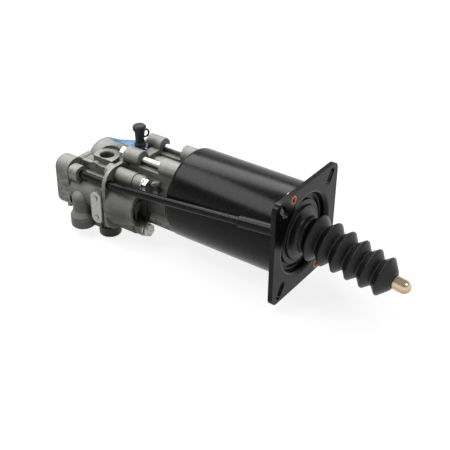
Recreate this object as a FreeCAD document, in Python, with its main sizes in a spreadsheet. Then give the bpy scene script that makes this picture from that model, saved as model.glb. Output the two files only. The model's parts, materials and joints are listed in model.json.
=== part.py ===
import FreeCAD, Part
import Sketcher
import math
import os
import re

# Clutch servo: air cylinder with square flange, hydraulic housing and control valve.
# Row frame: +X is the way the push rod pushes, +Z is up, origin in the middle of the flange face.

doc = FreeCAD.newDocument("clutch_servo")
sheet = doc.addObject("Spreadsheet::Sheet", "Sizes")

# Driving dimensions in millimetres and degrees

SIZES = {
    # Flange
    "flange_margin": 9, "flange_thick": 5.5, "flange_corner": 9, "slot_width": 9, "slot_length": 20,
    "slot_in": 15.5, "slot_down": 13, "slot_angle": 54,
    # Flange rivets
    "rivet_across": 27.5, "rivet_down": 6.7, "rivet_outer": 4.8, "rivet_bore": 2.9, "rivet_head": 6.2,
    "rivet_head_thick": 1.4,
    # Cylinder
    "tube_length": 147, "tube_radius": 51, "sheet": 2.5, "rear_lip": 7, "recess_edge": 8,
    "recess_depth": 9, "rod_hole": 8.3, "lip_round": 5, "rear_round": 5, "press_round": 2.4,
    # Push rod
    "rod_radius": 7.5, "rod_ahead": 126, "rod_behind": 22, "rod_droop": 8.4, "rod_groove_at": 114.5,
    "rod_groove_depth": 0.8, "rod_groove_width": 5,
    # Bellows
    "boot_disc_radius": 36, "boot_disc_thick": 3, "boot_step_radius": 30, "boot_step_rise": 3,
    "boot_neck_radius": 19, "crest_first": 25.4, "crest_last": 21.2, "valley_first": 17.4,
    "valley_last": 14.6, "crest_start": 13.5, "fold_pitch": 15.9, "boot_wall": 1.8, "crest_land": 0.9,
    "valley_land": 1.6, "nose_start": 99, "nose_end": 103.5, "nose_radius": 10.2, "nose_edge": 1,
    "nose_clear": 0.3, "wall_slant": 1.35, "skin_lap": 0.2,
    # Power piston
    "piston_front": 19, "piston_length": 26, "piston_clear": 0.3, "cup_radius": 20.5, "cup_depth": 24,
    "cup_rim": 27, "web_front": 30, "web_rear": 38, "rim_wall": 6.2, "seal_groove_depth": 4.5,
    "seal_groove_start": 9, "seal_groove_width": 7, "guide_groove_start": 18.5, "guide_groove_width": 5,
    "guide_groove_depth": 2, "hub_rear": 58, "pad_thick": 3, "pad_clear": 0.5, "seal_lip_gap": 0.06,
    "lip_base": 1.2, "lip_point": 1.6, "lip_edge": 1.4, "lip_back": 3.5, "lip_thin": 2.2,
    # Plunger
    "plunger_radius": 12.5, "plunger_front": 46, "plunger_rear": 58, "bore_clear": 0.05,
    "plunger_nose": 3,
    # Preload spring
    "preload_radius": 33.5, "preload_wire": 1.6, "preload_pitch": 17.2, "end_gap": 0.05,
    # Cylinder head
    "head_disc_thick": 14, "head_fit": 0.05, "head_neck_end": 1, "head_core": 26, "joint_at": 53,
    "boss_radius": 10, "bolt_across": 19.5, "bolt_up": 31, "head_boss_end": 24, "lug_end": 75,
    "fold_clear": 0.5, "boss_clear": 0.3, "ring_groove_at": 4.5, "ring_groove_depth": 2.6,
    "ring_groove_width": 3.6, "bush_outer": 16, "bush_length": 22, "bore_ease": 0.5, "trough_top": 26.6,
    "trough_in": 10, "trough_out": 29, "trough_low": 8, "trough_room": 8, "trough_room_up": 3,
    # Head ribs
    "shelf_top": 18, "shelf_thick": 3.5, "shelf_out": 38.4, "shelf_in": 16, "shelf_notch": 29.5,
    "shelf_front": 20.5, "shelf_corner": 6, "shelf_depth": 7.5, "shelf_step": 3,
    "rib_thick": 3.2, "shelf_low": 8, "ledge_out": 28.5, "ledge_end": 36, "ledge_low": 15,
    "foot_y": 27, "foot_z": 32.5,
    "foot_radius": 8, "foot_rear": 34, "foot_web_at": 27,
    # Tie bolts
    "bolt_radius": 4, "bolt_clear": 0.2, "bolt_head_flats": 13, "bolt_head_height": 5.3,
    "washer_outer": 8, "washer_thick": 1.6, "bolt_tip": 11,
    # Hydraulic housing
    "hyd_end": 139, "hyd_round": 11, "hyd_bore_end": 121, "port_x": 105.6, "port_y": 21, "port_top": 21.6,
    "port_foot": 5, "port_boss": 15.5, "port_round": 1, "spot_rise": 8, "port_mouth": 9.05,
    "port_mouth_depth": 1.2, "port_thread": 8.2, "port_depth": 13, "port_channel_turn": 27.9,
    "port_channel_length": 20, "channel": 2.5, "pad_face": 31, "pad_root": 8, "pad_front": 83,
    "pad_rear": 137, "pad_top": 14.5, "pad_low": 40, "pad_round": 5, "lug_web": 12, "lug_round": 1.5,
    "wall_near": 27, "wall_top": 22.5, "wall_low": 8, "wall_at": 82, "wall_end": 65, "seal_room_depth": 9,
    "seal_room_length": 13, "seal_thick": 5, "seal_grip": 0.02,
    # Joint lobes
    "lobe_radius": 6.5, "lobe_depth": 12, "lobe_rear": 134, "lobe_middle": 111, "lobe_front": 90,
    "lobe_up": 10, "lobe_down": 35.5, "screw_thread": 8,
    # Bleed screw
    "bleed_x": 73.5, "bleed_boss": 8, "bleed_foot": 16, "bleed_boss_top": 27.5, "bleed_thread": 4.2,
    "bleed_thread_length": 8, "bleed_hole_depth": 11, "bleed_drill_foot": 2, "bleed_hex_flats": 11,
    "bleed_hex_height": 6, "bleed_neck": 3.4, "bleed_top": 50.5, "bleed_bore": 1,
    # Dust cap
    "cap_bottom": 34.6, "cap_flare": 6.6, "cap_waist": 5, "cap_body": 5.8, "cap_brim": 7.6,
    "cap_top": 59.8, "cap_brim_low": 54.2, "cap_edge": 1.4, "cap_slope": 1, "cap_grip": 0.15,
    "cap_flare_high": 2.2, "cap_waist_high": 4.4, "strap_radius": 4.6, "strap_thick": 2.2,
    "strap_out": 6.6, "strap_turn": 65, "strap_rise": -1.2,
    # Fluid tag
    "tag_thick": 0.8, "tag_length": 43, "tag_clear": 0.15, "tag_grip": 0.3,
    # Valve housing
    "valve_y": 45, "valve_z": 14, "body_radius": 20, "body_rear": 127, "plate_rear": 76.5,
    "joint_thick": 5, "gasket_thick": 1, "supply_x": 112.5, "supply_y": 60, "supply_radius": 14.3,
    "supply_low": 55, "supply_round": 3.5, "supply_neck": 11, "supply_top": 19, "supply_bore": 8.5,
    "supply_depth": 21, "supply_drill": 4, "collar_at": 40, "supply_slope": 6, "supply_web": 12,
    "exhaust_x": 88, "exhaust_y": 42,
    "exhaust_radius": 11.3, "exhaust_low": 53, "exhaust_bore": 7.3,
    "socket_back": 2, "socket_length": 12, "socket_web": 12, "shoulder_near": 65.5, "shoulder_far": 49,
    "shoulder_low": 1, "shoulder_top": 18.5,
    "shoulder_round": 6, "label_pad": 65, "label_pad_round": 7,
    "label_pad_edge": 1, "valve_bore": 11, "bridge_low": 17, "bridge_high": 13,
    # Valve cap
    "plate_thick": 4.5, "plate_near": 64, "plate_far": 30.5, "plate_low": 52, "plate_high": 26.6,
    "plate_corner": 20, "bowl_y": 35.5, "bowl_z": 18.5, "bowl_base": 30.5, "bowl_end": 22.8,
    "bowl_length": 31, "bowl_wall": 3, "bowl_rib": 2.8, "rib_step": 4, "hub_radius": 12.6,
    "hub_bore": 9.6, "hub_depth": 25, "valve_bolt_y": 40, "valve_bolt_top": 15, "valve_bolt_low": 43,
    "bolt_boss": 9.3, "bolt_sleeve": 8.4, "boss_step": 25.6, "valve_boss_length": 36.4, "nut_boss_length": 9,
    # Rear cover
    "cover_length": 21, "cover_near": 64.5, "cover_far": 37.5, "cover_low": 37.2, "cover_high": 22.4,
    "cover_corner": 12, "cover_wall": 4, "cover_round": 4, "split_line": 0.5, "cover_z": 8,
    # Small plugs
    "plug_y": 54.4, "plug_radius": 2.4, "plug_reach": 6, "plug_head": 3.2, "plug_length": 3.5,
    "cap_low": 64, "cap_round": 2, "cap_inset": 1, "cap_seat": 3, "cap_ring": 1.6, "cap_outer": 12.9,
    # Vent pipe
    "pipe_radius": 4.4, "pipe_bore": 3.1, "pipe_y": 57, "pipe_z": 10, "pipe_start": 123,
    "pipe_bend_at": 56, "pipe_bend_radius": 150, "pipe_rise": 5.4, "pipe_roll": 72, "pipe_end": 11,
    "sleeve_radius": 6.3, "sleeve_length": 40, "seal_section": 1.1, "seal_ease": 0.05,
    "sleeve_clear": 0.1, "vent_hole": 2.2, "pipe_gap": 0.8, "vent_back": 8.9, "vent_reach": 25,
    "sleeve_back": 0.9, "saddle_turn": 25.7, "saddle_half": 5.6, "saddle_length": 30, "saddle_depth": 9,
    # Relay valve
    "relay_front": 49.4, "relay_length": 18, "relay_radius": 9.5, "relay_stem": 4, "relay_bore": 2,
    "seat_at": 85, "seat_thick": 4, "seat_bore": 6, "poppet_radius": 8, "poppet_thick": 3,
    "poppet_stem": 3.5, "poppet_length": 20, "valve_gap": 1.3, "spring_wire": 0.6, "ring_section": 0.9,
    "relay_groove": 2.2, "coil_out": 1.5, "relay_pitch": 2.6, "poppet_pitch": 2.7, "coil_in": 2,
    "guide_front": 103, "guide_rear": 119, "rear_room": 6, "relay_breather": 1.5, "hub_skin": 2,
    # Joint screws
    "screw_radius": 2.5, "screw_clear": 0.3, "screw_head": 4.2, "screw_head_thick": 3.2,
    "screw_sunk": 0.1, "screw_key": 3,
    # Label
    "label_wide": 15, "label_high": 39.4, "label_thick": 1, "label_x": 85.2, "label_z": 20.2,
    "label_round": 7.45, "label_hole": 1.5, "label_rivet": 2.4, "label_rivet_thick": 0.8,
}
# Sizes above that are measured back from the rear face of the cylinder

BEHIND_TUBE = [
    "head_neck_end", "joint_at", "head_boss_end", "lug_end", "shelf_front", "ledge_end",
    "foot_rear", "foot_web_at", "bolt_tip", "hyd_end", "hyd_bore_end", "port_x", "pad_front",
    "pad_rear", "wall_at", "wall_end", "lobe_rear", "lobe_middle", "lobe_front", "bleed_x",
    "plunger_rear", "body_rear", "plate_rear", "supply_x", "exhaust_x", "label_x", "pipe_start",
    "pipe_bend_at", "relay_front", "seat_at", "guide_front", "guide_rear",
]

# Places and sizes that follow from the ones above

FOLLOWING = {
    "flange_side": "2 * (tube_radius + flange_margin)",
    "slot_centre_across": "flange_side / 2 - slot_in",
    "slot_centre_up": "flange_side / 2 - slot_down",
    "rivet_up": "flange_side / 2 - rivet_down",
    "rear_lip_radius": "tube_radius - rear_lip",
    "recess_radius": "tube_radius - recess_edge",
    "piston_radius": "tube_radius - sheet - piston_clear",
    "rim_inner": "piston_radius - rim_wall",
}
FOLLOWING.update({"at_" + alias: "tube_length + " + alias for alias in BEHIND_TUBE})
ALIASES = list(SIZES) + list(FOLLOWING)
for row, (alias, number) in enumerate(SIZES.items(), 1):
    sheet.set(f"A{row}", alias.replace("_", " "))
    sheet.set(f"B{row}", str(number))
    sheet.setAlias(f"B{row}", alias)
for row, (alias, formula) in enumerate(FOLLOWING.items(), len(SIZES) + 1):
    sheet.set(f"A{row}", alias.replace("_", " "))
    sheet.set(f"B{row}", "=" + formula)
    sheet.setAlias(f"B{row}", alias)
doc.recompute()

WORD = re.compile(r"[a-z][a-z_]*")


def bound(text):
    """Turn a formula of named sizes into one that other objects can follow."""
    return WORD.sub(lambda m: "Sizes." + m.group(0) if m.group(0) in ALIASES else m.group(0), text)


def mm(alias):
    """The present value of one named size."""
    return float(sheet.get(alias))


def worth(texts):
    """The present values of formulas of named sizes, worked out by the sheet."""
    for row, text in enumerate(texts, 1):
        sheet.set(f"E{row}", "=" + text)
    sheet.recompute()
    numbers = [float(sheet.get(f"E{row}")) for row in range(1, len(texts) + 1)]
    for row in range(1, len(texts) + 1):
        sheet.clear(f"E{row}")
    return numbers


TURNS = {
    "z": FreeCAD.Rotation(),
    "x": FreeCAD.Rotation(FreeCAD.Vector(0, 1, 0), 90),
    "y": FreeCAD.Rotation(FreeCAD.Vector(1, 0, 0), -90),
    "-z": FreeCAD.Rotation(FreeCAD.Vector(1, 0, 0), 180),
}
NODES = []


def put(obj, at, turn=None):
    """Set an object's turn and tie its place to the sheet."""
    obj.Placement = FreeCAD.Placement(FreeCAD.Vector(0, 0, 0), turn or FreeCAD.Rotation())
    for letter, text in zip("xyz", at):
        if text != "0":
            obj.setExpression(f"Placement.Base.{letter}", bound(text))
    return obj


def tie(obj, **props):
    """Tie properties of an object to formulas of named sizes."""
    for prop, text in props.items():
        obj.setExpression(prop, bound(text))
    return obj


def rod(name, radius, length, at, axis="x"):
    """A plain cylinder that starts at a point and runs along an axis."""
    made = doc.addObject("Part::Cylinder", name)
    return put(tie(made, Radius=radius, Height=length), at, TURNS[axis])


def cone(name, radius_a, radius_b, length, at, axis="x"):
    made = doc.addObject("Part::Cone", name)
    return put(tie(made, Radius1=radius_a, Radius2=radius_b, Height=length), at, TURNS[axis])


def ball(name, radius, at):
    made = doc.addObject("Part::Sphere", name)
    return put(tie(made, Radius=radius), at)


def block(name, lengths, at, turn=None):
    made = doc.addObject("Part::Box", name)
    tie(made, Length=lengths[0], Width=lengths[1], Height=lengths[2])
    return put(made, at, turn)


def hexagon(name, flats, height, at, axis="x"):
    """A hexagonal prism, its size given across the flats."""
    made = doc.addObject("Part::Prism", name)
    made.Polygon = 6
    tie(made, Circumradius=f"({flats}) / 2 / cos(30)", Height=height)
    return put(made, at, TURNS[axis])


def hoop(name, radius, section, at, axis="x"):
    made = doc.addObject("Part::Torus", name)
    return put(tie(made, Radius1=radius, Radius2=section), at, TURNS[axis])


def joined(name, pieces, refine=True):
    made = doc.addObject("Part::MultiFuse", name)
    made.Shapes = pieces
    made.Refine = refine
    return made


def without(name, base, tools):
    made = doc.addObject("Part::Cut", name)
    made.Base = base
    made.Tool = tools[0] if len(tools) == 1 else joined(name + "_tools", tools, False)
    made.Refine = True
    return made


def shared(name, first, second):
    made = doc.addObject("Part::MultiCommon", name)
    made.Shapes = [first, second]
    return made


def eased(name, base, pick, radius):
    """Round the edges of an object that a test picks."""
    doc.recompute()
    made = doc.addObject("Part::Fillet", name)
    made.Base = base
    chosen = [i for i, edge in enumerate(base.Shape.Edges, 1) if pick(edge)]
    made.Edges = [(i, radius, radius) for i in chosen]
    return made


def along(letter):
    """A test for straight edges that run along one axis."""
    def test(edge):
        if edge.Curve.TypeId != "Part::GeomLine":
            return False
        way = edge.tangentAt(edge.FirstParameter)
        return abs(getattr(way, letter)) > 0.999
    return test


def node(obj, label):
    obj.Label = label
    NODES.append(obj)
    return obj


def profile(body, name, plane, corners):
    """A closed sketch of straight lines, each corner tied to the sheet."""
    sketch = body.newObject("Sketcher::SketchObject", name)
    face = [f for f in body.Origin.OriginFeatures if f.Role == plane][0]
    sketch.AttachmentSupport = [(face, "")]
    sketch.MapMode = "FlatFace"
    flat = worth([text for corner in corners for text in corner])
    points = [FreeCAD.Vector(a, b, 0) for a, b in zip(flat[0::2], flat[1::2])]
    count = len(points)
    for i in range(count):
        sketch.addGeometry(Part.LineSegment(points[i], points[(i + 1) % count]), False)
    for i in range(count):
        sketch.addConstraint(Sketcher.Constraint("Coincident", i, 2, (i + 1) % count, 1))
    for i, corner in enumerate(corners):
        for kind, axis, text, number in (("DistanceX", -2, corner[0], points[i].x),
                                         ("DistanceY", -1, corner[1], points[i].y)):
            if text == "0":
                sketch.addConstraint(Sketcher.Constraint("PointOnObject", i, 1, axis))
                continue
            held = sketch.addConstraint(Sketcher.Constraint(kind, -1, 1, i, 1, number))
            sketch.setExpression(f"Constraints[{held}]", bound(text))
    return sketch


def turned(name, corners, at=("0", "0", "0"), turn=None, upright=False):
    """A body turned about its own X axis, or about Z when upright."""
    body = doc.addObject("PartDesign::Body", name)
    sketch = profile(body, name + "_profile", "XZ_Plane", corners)
    made = body.newObject("PartDesign::Revolution", name + "_turned")
    made.Profile = sketch
    made.ReferenceAxis = (sketch, ["V_Axis" if upright else "H_Axis"])
    made.Angle = 360
    put(body, at, turn)
    return body


def rim_edges(shape, spots):
    """Names of the round edges at stated pairs of place along X and radius."""
    names = []
    for i, edge in enumerate(shape.Edges, 1):
        if edge.Curve.TypeId != "Part::GeomCircle":
            continue
        for x, radius in spots:
            if abs(edge.Curve.Center.x - x) < 0.01 and abs(edge.Curve.Radius - radius) < 0.01:
                names.append(f"Edge{i}")
    return names


def round_rims(body, name, spots, radius):
    """Round circular edges of a turned body, the radius tied to the sheet."""
    doc.recompute()
    places = worth([text for spot in spots for text in spot])
    pairs = list(zip(places[0::2], places[1::2]))
    last = body.Tip
    made = body.newObject("PartDesign::Fillet", name)
    made.Base = (last, rim_edges(last.Shape, pairs))
    tie(made, Radius=radius)
    body.Tip = made
    return body


def plate(name, corners, thick, at, corner=None, turn=None, plane="YZ_Plane"):
    """A flat body padded from a profile, its corners rounded when asked."""
    body = doc.addObject("PartDesign::Body", name)
    sketch = profile(body, name + "_outline", plane, corners)
    pad = body.newObject("PartDesign::Pad", name + "_pad")
    pad.Profile = sketch
    tie(pad, Length=thick)
    if corner:
        doc.recompute()
        normal = {"YZ_Plane": "x", "XY_Plane": "z", "XZ_Plane": "y"}[plane]
        test = along(normal)
        names = [f"Edge{i}" for i, edge in enumerate(pad.Shape.Edges, 1) if test(edge)]
        made = body.newObject("PartDesign::Fillet", name + "_corners")
        made.Base = (pad, names)
        tie(made, Radius=corner)
        body.Tip = made
    put(body, at, turn)
    return body


def spring(name, radius, wire, pitch, height, at):
    """A round-wire coil along X, swept from a circle along a helix."""
    path = doc.addObject("Part::Helix", name + "_path")
    tie(path, Radius=radius, Pitch=pitch, Height=height)
    section = doc.addObject("Part::Circle", name + "_section")
    tie(section, Radius=wire)
    section.Placement = FreeCAD.Placement(
        FreeCAD.Vector(0, 0, 0), FreeCAD.Rotation(FreeCAD.Vector(1, 0, 0), 90))
    section.setExpression("Placement.Base.x", bound(radius))
    made = doc.addObject("Part::Sweep", name)
    made.Sections = [section]
    made.Spine = (path, ["Edge1"])
    made.Solid = True
    made.Frenet = True
    return put(made, at, TURNS["x"])


CORNERS = [(across, up) for across in ("-", "") for up in ("-", "")]

# Cylinder and flange

tube = turned("tube", [
    ("tube_length", "tube_radius"),
    ("0", "tube_radius"),
    ("0", "rear_lip_radius"),
    ("sheet", "rear_lip_radius"),
    ("sheet", "tube_radius - sheet"),
    ("tube_length - sheet", "tube_radius - sheet"),
    ("tube_length - sheet", "recess_radius + sheet"),
    ("tube_length - recess_depth - sheet", "recess_radius + sheet"),
    ("tube_length - recess_depth - sheet", "rod_hole"),
    ("tube_length - recess_depth", "rod_hole"),
    ("tube_length - recess_depth", "recess_radius"),
    ("tube_length", "recess_radius"),
])
round_rims(tube, "tube_rear_round", [("0", "tube_radius")], "rear_round")
round_rims(tube, "tube_lip_round", [("tube_length", "recess_radius")], "lip_round")
round_rims(tube, "tube_fold_round", [
    ("sheet", "tube_radius - sheet"),
    ("tube_length - sheet", "recess_radius + sheet"),
    ("tube_length - recess_depth", "recess_radius"),
], "press_round")
put(tube, ("-tube_length", "0", "0"))

PIPE_ROLL = FreeCAD.Rotation(FreeCAD.Vector(1, 0, 0), mm("pipe_roll"))
RISEN_WAY = PIPE_ROLL * FreeCAD.Rotation(FreeCAD.Vector(0, 0, 1), mm("pipe_rise"))


def on_pipe(back):
    """The point on the rising part of the pipe's middle line at a distance behind the flange."""
    rise = f"(at_pipe_bend_at - ({back})) * tan(pipe_rise)"
    return (f"-({back})", f"-pipe_y + {rise} * cos(pipe_roll)", f"pipe_z + {rise} * sin(pipe_roll)")


def risen(obj, at):
    return put(obj, at, RISEN_WAY * TURNS["x"])


INWARD = FreeCAD.Rotation(FreeCAD.Vector(1, 0, 0), -90 - mm("saddle_turn"))


def vent_drill(name):
    """The drilling from the pipe's sleeve through the cylinder wall."""
    return put(rod(name, "vent_hole", "vent_reach", ("0", "0", "0")), on_pipe("pipe_end + vent_back"), INWARD)


node(without("tube_vented", tube, [vent_drill("tube_vent")]), "cylinder_tube")

flange_blank = plate("flange_blank", [
    ("-flange_side / 2", "-flange_side / 2"),
    ("flange_side / 2", "-flange_side / 2"),
    ("flange_side / 2", "flange_side / 2"),
    ("-flange_side / 2", "flange_side / 2"),
], "flange_thick", ("-flange_thick", "0", "0"), "flange_corner")
cuts = [rod("flange_bore", "tube_radius", "2 * flange_thick", ("-1.5 * flange_thick", "0", "0"))]
reach = "(slot_length - slot_width) / 2"
for n, (side, up) in enumerate(CORNERS):
    flip = 1 if side == up else -1
    ends = []
    for e, way in enumerate(("-", "+")):
        ends.append(rod(f"slot_end_{n}_{e}", "slot_width / 2", "2 * flange_thick", (
            "-1.5 * flange_thick",
            f"{side}slot_centre_across {way} {reach} * cos(slot_angle)",
            f"{up}slot_centre_up {way} {flip} * {reach} * sin(slot_angle)")))
    middle = block(f"slot_middle_{n}", ("2 * flange_thick", "slot_length - slot_width", "slot_width"),
                   ("-1.5 * flange_thick", "0", "0"))
    lean = FreeCAD.Rotation(FreeCAD.Vector(1, 0, 0), flip * mm("slot_angle"))
    put(middle, (
        "-1.5 * flange_thick",
        f"{side}slot_centre_across - {reach} * cos(slot_angle) + {flip} * slot_width / 2 * sin(slot_angle)",
        f"{up}slot_centre_up - {flip} * {reach} * sin(slot_angle) - slot_width / 2 * cos(slot_angle)"),
        lean)
    cuts += ends + [middle]
RIVET_SPOTS = (("-rivet_across", "rivet_up"), ("rivet_across", "-rivet_up"))
for n, (y, z) in enumerate(RIVET_SPOTS):
    cuts.append(rod(f"rivet_hole_{n}", "rivet_outer", "2 * flange_thick", ("-1.5 * flange_thick", y, z)))
node(without("flange", flange_blank, cuts), "mounting_flange")

rivets = []
for n, (y, z) in enumerate(RIVET_SPOTS):
    shank = rod(f"rivet_shank_{n}", "rivet_outer", "flange_thick", ("-flange_thick", y, z))
    head = rod(f"rivet_head_{n}", "rivet_head", "rivet_head_thick",
               ("-flange_thick - rivet_head_thick", y, z))
    bore = rod(f"rivet_bore_{n}", "rivet_bore", "3 * flange_thick", ("-2 * flange_thick", y, z))
    rivets.append(without(f"rivet_{n}", joined(f"rivet_solid_{n}", [shank, head]), [bore]))
node(joined("rivets", rivets), "flange_rivets")

# Vent pipe, its sleeve on the cylinder and its two seals

sleeve = risen(rod("sleeve_tube", "sleeve_radius", "sleeve_length", ("0", "0", "0")),
               on_pipe("flange_thick + sleeve_back + sleeve_length"))
saddle = block("saddle", ("saddle_length", "saddle_depth", "2 * saddle_half"), ("0", "0", "0"))
saddle_from = on_pipe("flange_thick + sleeve_back + saddle_length")
put(saddle, (saddle_from[0], f"{saddle_from[1]} - saddle_half * sin(saddle_turn)",
             f"{saddle_from[2]} - saddle_half * cos(saddle_turn)"),
    FreeCAD.Rotation(FreeCAD.Vector(1, 0, 0), -mm("saddle_turn")))
heel = rod("saddle_heel", "saddle_half", "saddle_depth", ("0", "0", "0"))
put(heel, saddle_from, INWARD)
pipe_hollow = risen(rod("sleeve_bore", "pipe_radius + sleeve_clear", "sleeve_length", ("0", "0", "0")),
                    on_pipe("pipe_end + sleeve_length - sleeve_back"))
tube_room = rod("sleeve_tube_room", "tube_radius", "tube_length", ("-tube_length", "0", "0"))
node(without("sleeve", joined("sleeve_solid", [sleeve, saddle, heel]),
             [pipe_hollow, tube_room, vent_drill("sleeve_vent")]), "vent_pipe_sleeve")

pipe = doc.addObject("PartDesign::Body", "pipe")
path = pipe.newObject("Sketcher::SketchObject", "pipe_path")
path.AttachmentSupport = [([f for f in pipe.Origin.OriginFeatures if f.Role == "XY_Plane"][0], "")]
path.MapMode = "FlatFace"
run, bend, rise = mm("at_pipe_start") - mm("at_pipe_bend_at"), mm("pipe_bend_radius"), mm("pipe_rise")
ease = bend * math.tan(math.radians(rise / 2))
turn_from = FreeCAD.Vector(run - ease, 0, 0)
turn_to = FreeCAD.Vector(run + ease * math.cos(math.radians(rise)), ease * math.sin(math.radians(rise)), 0)
span = mm("at_pipe_bend_at") - mm("pipe_end")
path_end = FreeCAD.Vector(run + span, span * math.tan(math.radians(rise)), 0)
path.addGeometry(Part.LineSegment(FreeCAD.Vector(0, 0, 0), turn_from), False)
path.addGeometry(Part.ArcOfCircle(Part.Circle(FreeCAD.Vector(run - ease, bend, 0), FreeCAD.Vector(0, 0, 1),
                                              bend), math.radians(270), math.radians(270 + rise)), False)
path.addGeometry(Part.LineSegment(turn_to, path_end), False)
path.addConstraint(Sketcher.Constraint("Coincident", 0, 1, -1, 1))
path.addConstraint(Sketcher.Constraint("Horizontal", 0))
path.addConstraint(Sketcher.Constraint("Tangent", 0, 2, 1, 1))
path.addConstraint(Sketcher.Constraint("Tangent", 1, 2, 2, 1))
for kind, where, text, number in (
        ("Radius", (1,), "pipe_bend_radius", bend),
        ("DistanceX", (-1, 1, 0, 2),
         "at_pipe_start - at_pipe_bend_at - pipe_bend_radius * tan(pipe_rise / 2)",
         run - ease),
        ("DistanceX", (-1, 1, 2, 2), "at_pipe_start - pipe_end", path_end.x),
        ("DistanceY", (-1, 1, 2, 2), "(at_pipe_bend_at - pipe_end) * tan(pipe_rise)", path_end.y)):
    held = path.addConstraint(Sketcher.Constraint(kind, *where, number))
    path.setExpression(f"Constraints[{held}]", bound(text))
rings = pipe.newObject("Sketcher::SketchObject", "pipe_section")
rings.AttachmentSupport = [([f for f in pipe.Origin.OriginFeatures if f.Role == "YZ_Plane"][0], "")]
rings.MapMode = "FlatFace"
for i, alias in enumerate(("pipe_radius", "pipe_bore")):
    rings.addGeometry(Part.Circle(FreeCAD.Vector(0, 0, 0), FreeCAD.Vector(0, 0, 1), mm(alias)), False)
    rings.addConstraint(Sketcher.Constraint("Coincident", i, 3, -1, 1))
    held = rings.addConstraint(Sketcher.Constraint("Radius", i, mm(alias)))
    rings.setExpression(f"Constraints[{held}]", bound(alias))
swept = pipe.newObject("PartDesign::AdditivePipe", "pipe_swept")
swept.Profile = rings
swept.Spine = (path, ["Edge1", "Edge2", "Edge3"])
put(pipe, ("-at_pipe_start", "-pipe_y", "pipe_z"), PIPE_ROLL)
node(pipe, "vent_pipe")
SEAL_DEPTHS = ("socket_length * 0.3", "socket_length * 0.7")
pipe_seals = []
for n, depth in enumerate(SEAL_DEPTHS):
    pipe_seals.append(hoop(f"pipe_seal_{n}", "pipe_radius + seal_section", "seal_section",
                           (f"-at_pipe_start + {depth}", "-pipe_y", "pipe_z")))
node(joined("pipe_seals", pipe_seals), "vent_pipe_seals")

# Bellows: folds of constant wall on a middle line that eases from the flange into the drooped rod

DROOP = FreeCAD.Rotation(FreeCAD.Vector(0, 1, 0), mm("rod_droop"))
PIVOT = ("-recess_depth - sheet / 2", "0", "0")
pivot_x = -mm("recess_depth") - mm("sheet") / 2
slope = -math.tan(math.radians(mm("rod_droop")))
nose_x = mm("nose_start")
nose_z = (nose_x - pivot_x) * slope
FOLDS = 6


def middle_line(x):
    """Height and slope of the bellows' middle line, a cubic that ends on the rod's own line."""
    t = min(max(x / nose_x, 0), 1)
    height = nose_z * (3 * t * t - 2 * t ** 3) + slope * nose_x * (t ** 3 - t * t)
    steep = nose_z * (6 * t - 6 * t * t) / nose_x + slope * (3 * t * t - 2 * t)
    return height, steep


def ring(x, radius):
    """A round wire across the middle line."""
    height, steep = middle_line(x)
    circle = Part.Circle(FreeCAD.Vector(x, 0, height), FreeCAD.Vector(1, 0, steep), radius)
    return Part.Wire([circle.toShape()])


def fold_stations():
    """Places along X and outer radii of the bellows, from the neck to the nose."""
    base_front = -mm("recess_depth") + mm("boot_disc_thick")
    yield base_front + mm("boot_step_rise"), mm("boot_step_radius")
    yield mm("crest_start") - mm("fold_pitch") / 2, mm("boot_neck_radius")
    for k in range(FOLDS):
        share = k / (FOLDS - 1)
        crest = mm("crest_first") + (mm("crest_last") - mm("crest_first")) * share
        valley = mm("valley_first") + (mm("valley_last") - mm("valley_first")) * share
        x = mm("crest_start") + mm("fold_pitch") * k
        yield x - mm("crest_land") / 2, crest
        yield x + mm("crest_land") / 2, crest
        if k < FOLDS - 1:
            x += mm("fold_pitch") / 2
            yield x - mm("valley_land") / 2, valley
            yield x + mm("valley_land") / 2, valley
    yield mm("nose_start"), mm("nose_radius")
    yield mm("nose_end"), mm("nose_radius") - mm("nose_edge")


def skin(thinner):
    """The folded outside, or the inside one wall thickness under it."""
    stations = list(fold_stations())
    if thinner:
        stations[0] = (stations[0][0] - mm("skin_lap"), stations[0][1])
        stations[-1] = (mm("nose_end") + mm("skin_lap"), mm("nose_radius"))
    wires = []
    for x, radius in stations:
        inner = radius - (mm("boot_wall") * mm("wall_slant") if thinner else 0)
        if thinner and x >= mm("nose_start"):
            inner = mm("rod_radius") + mm("nose_clear")
        wires.append(ring(x, inner))
    return Part.makeLoft(wires, True, True)


disc_front = -mm("recess_depth") + mm("boot_disc_thick")
disc = Part.makeCylinder(mm("boot_disc_radius"), mm("boot_disc_thick"),
                         FreeCAD.Vector(-mm("recess_depth"), 0, 0), FreeCAD.Vector(1, 0, 0))
step = Part.makeCylinder(mm("boot_step_radius"), mm("boot_step_rise"),
                         FreeCAD.Vector(disc_front, 0, 0), FreeCAD.Vector(1, 0, 0))
throat = Part.makeCylinder(mm("boot_step_radius") - mm("boot_wall") * mm("wall_slant"),
                           mm("boot_disc_thick") + mm("boot_step_rise") + 2 * mm("skin_lap"),
                           FreeCAD.Vector(-mm("recess_depth") - mm("skin_lap"), 0, 0),
                           FreeCAD.Vector(1, 0, 0))
folded = skin(False).cut(skin(True))
boot = doc.addObject("Part::Feature", "boot")
boot.Shape = disc.fuse([step, folded]).cut(throat).removeSplitter()
node(boot, "bellows")

# Push rod, drooped about the pivot in the cylinder's front wall


def on_rod(ahead):
    """The point on the rod's middle line at a distance ahead of the pivot."""
    return (f"-recess_depth - sheet / 2 + ({ahead}) * cos(rod_droop)", "0", f"-({ahead}) * sin(rod_droop)")


def drooped(obj, ahead):
    return put(obj, on_rod(ahead), DROOP * TURNS["x"])


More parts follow.
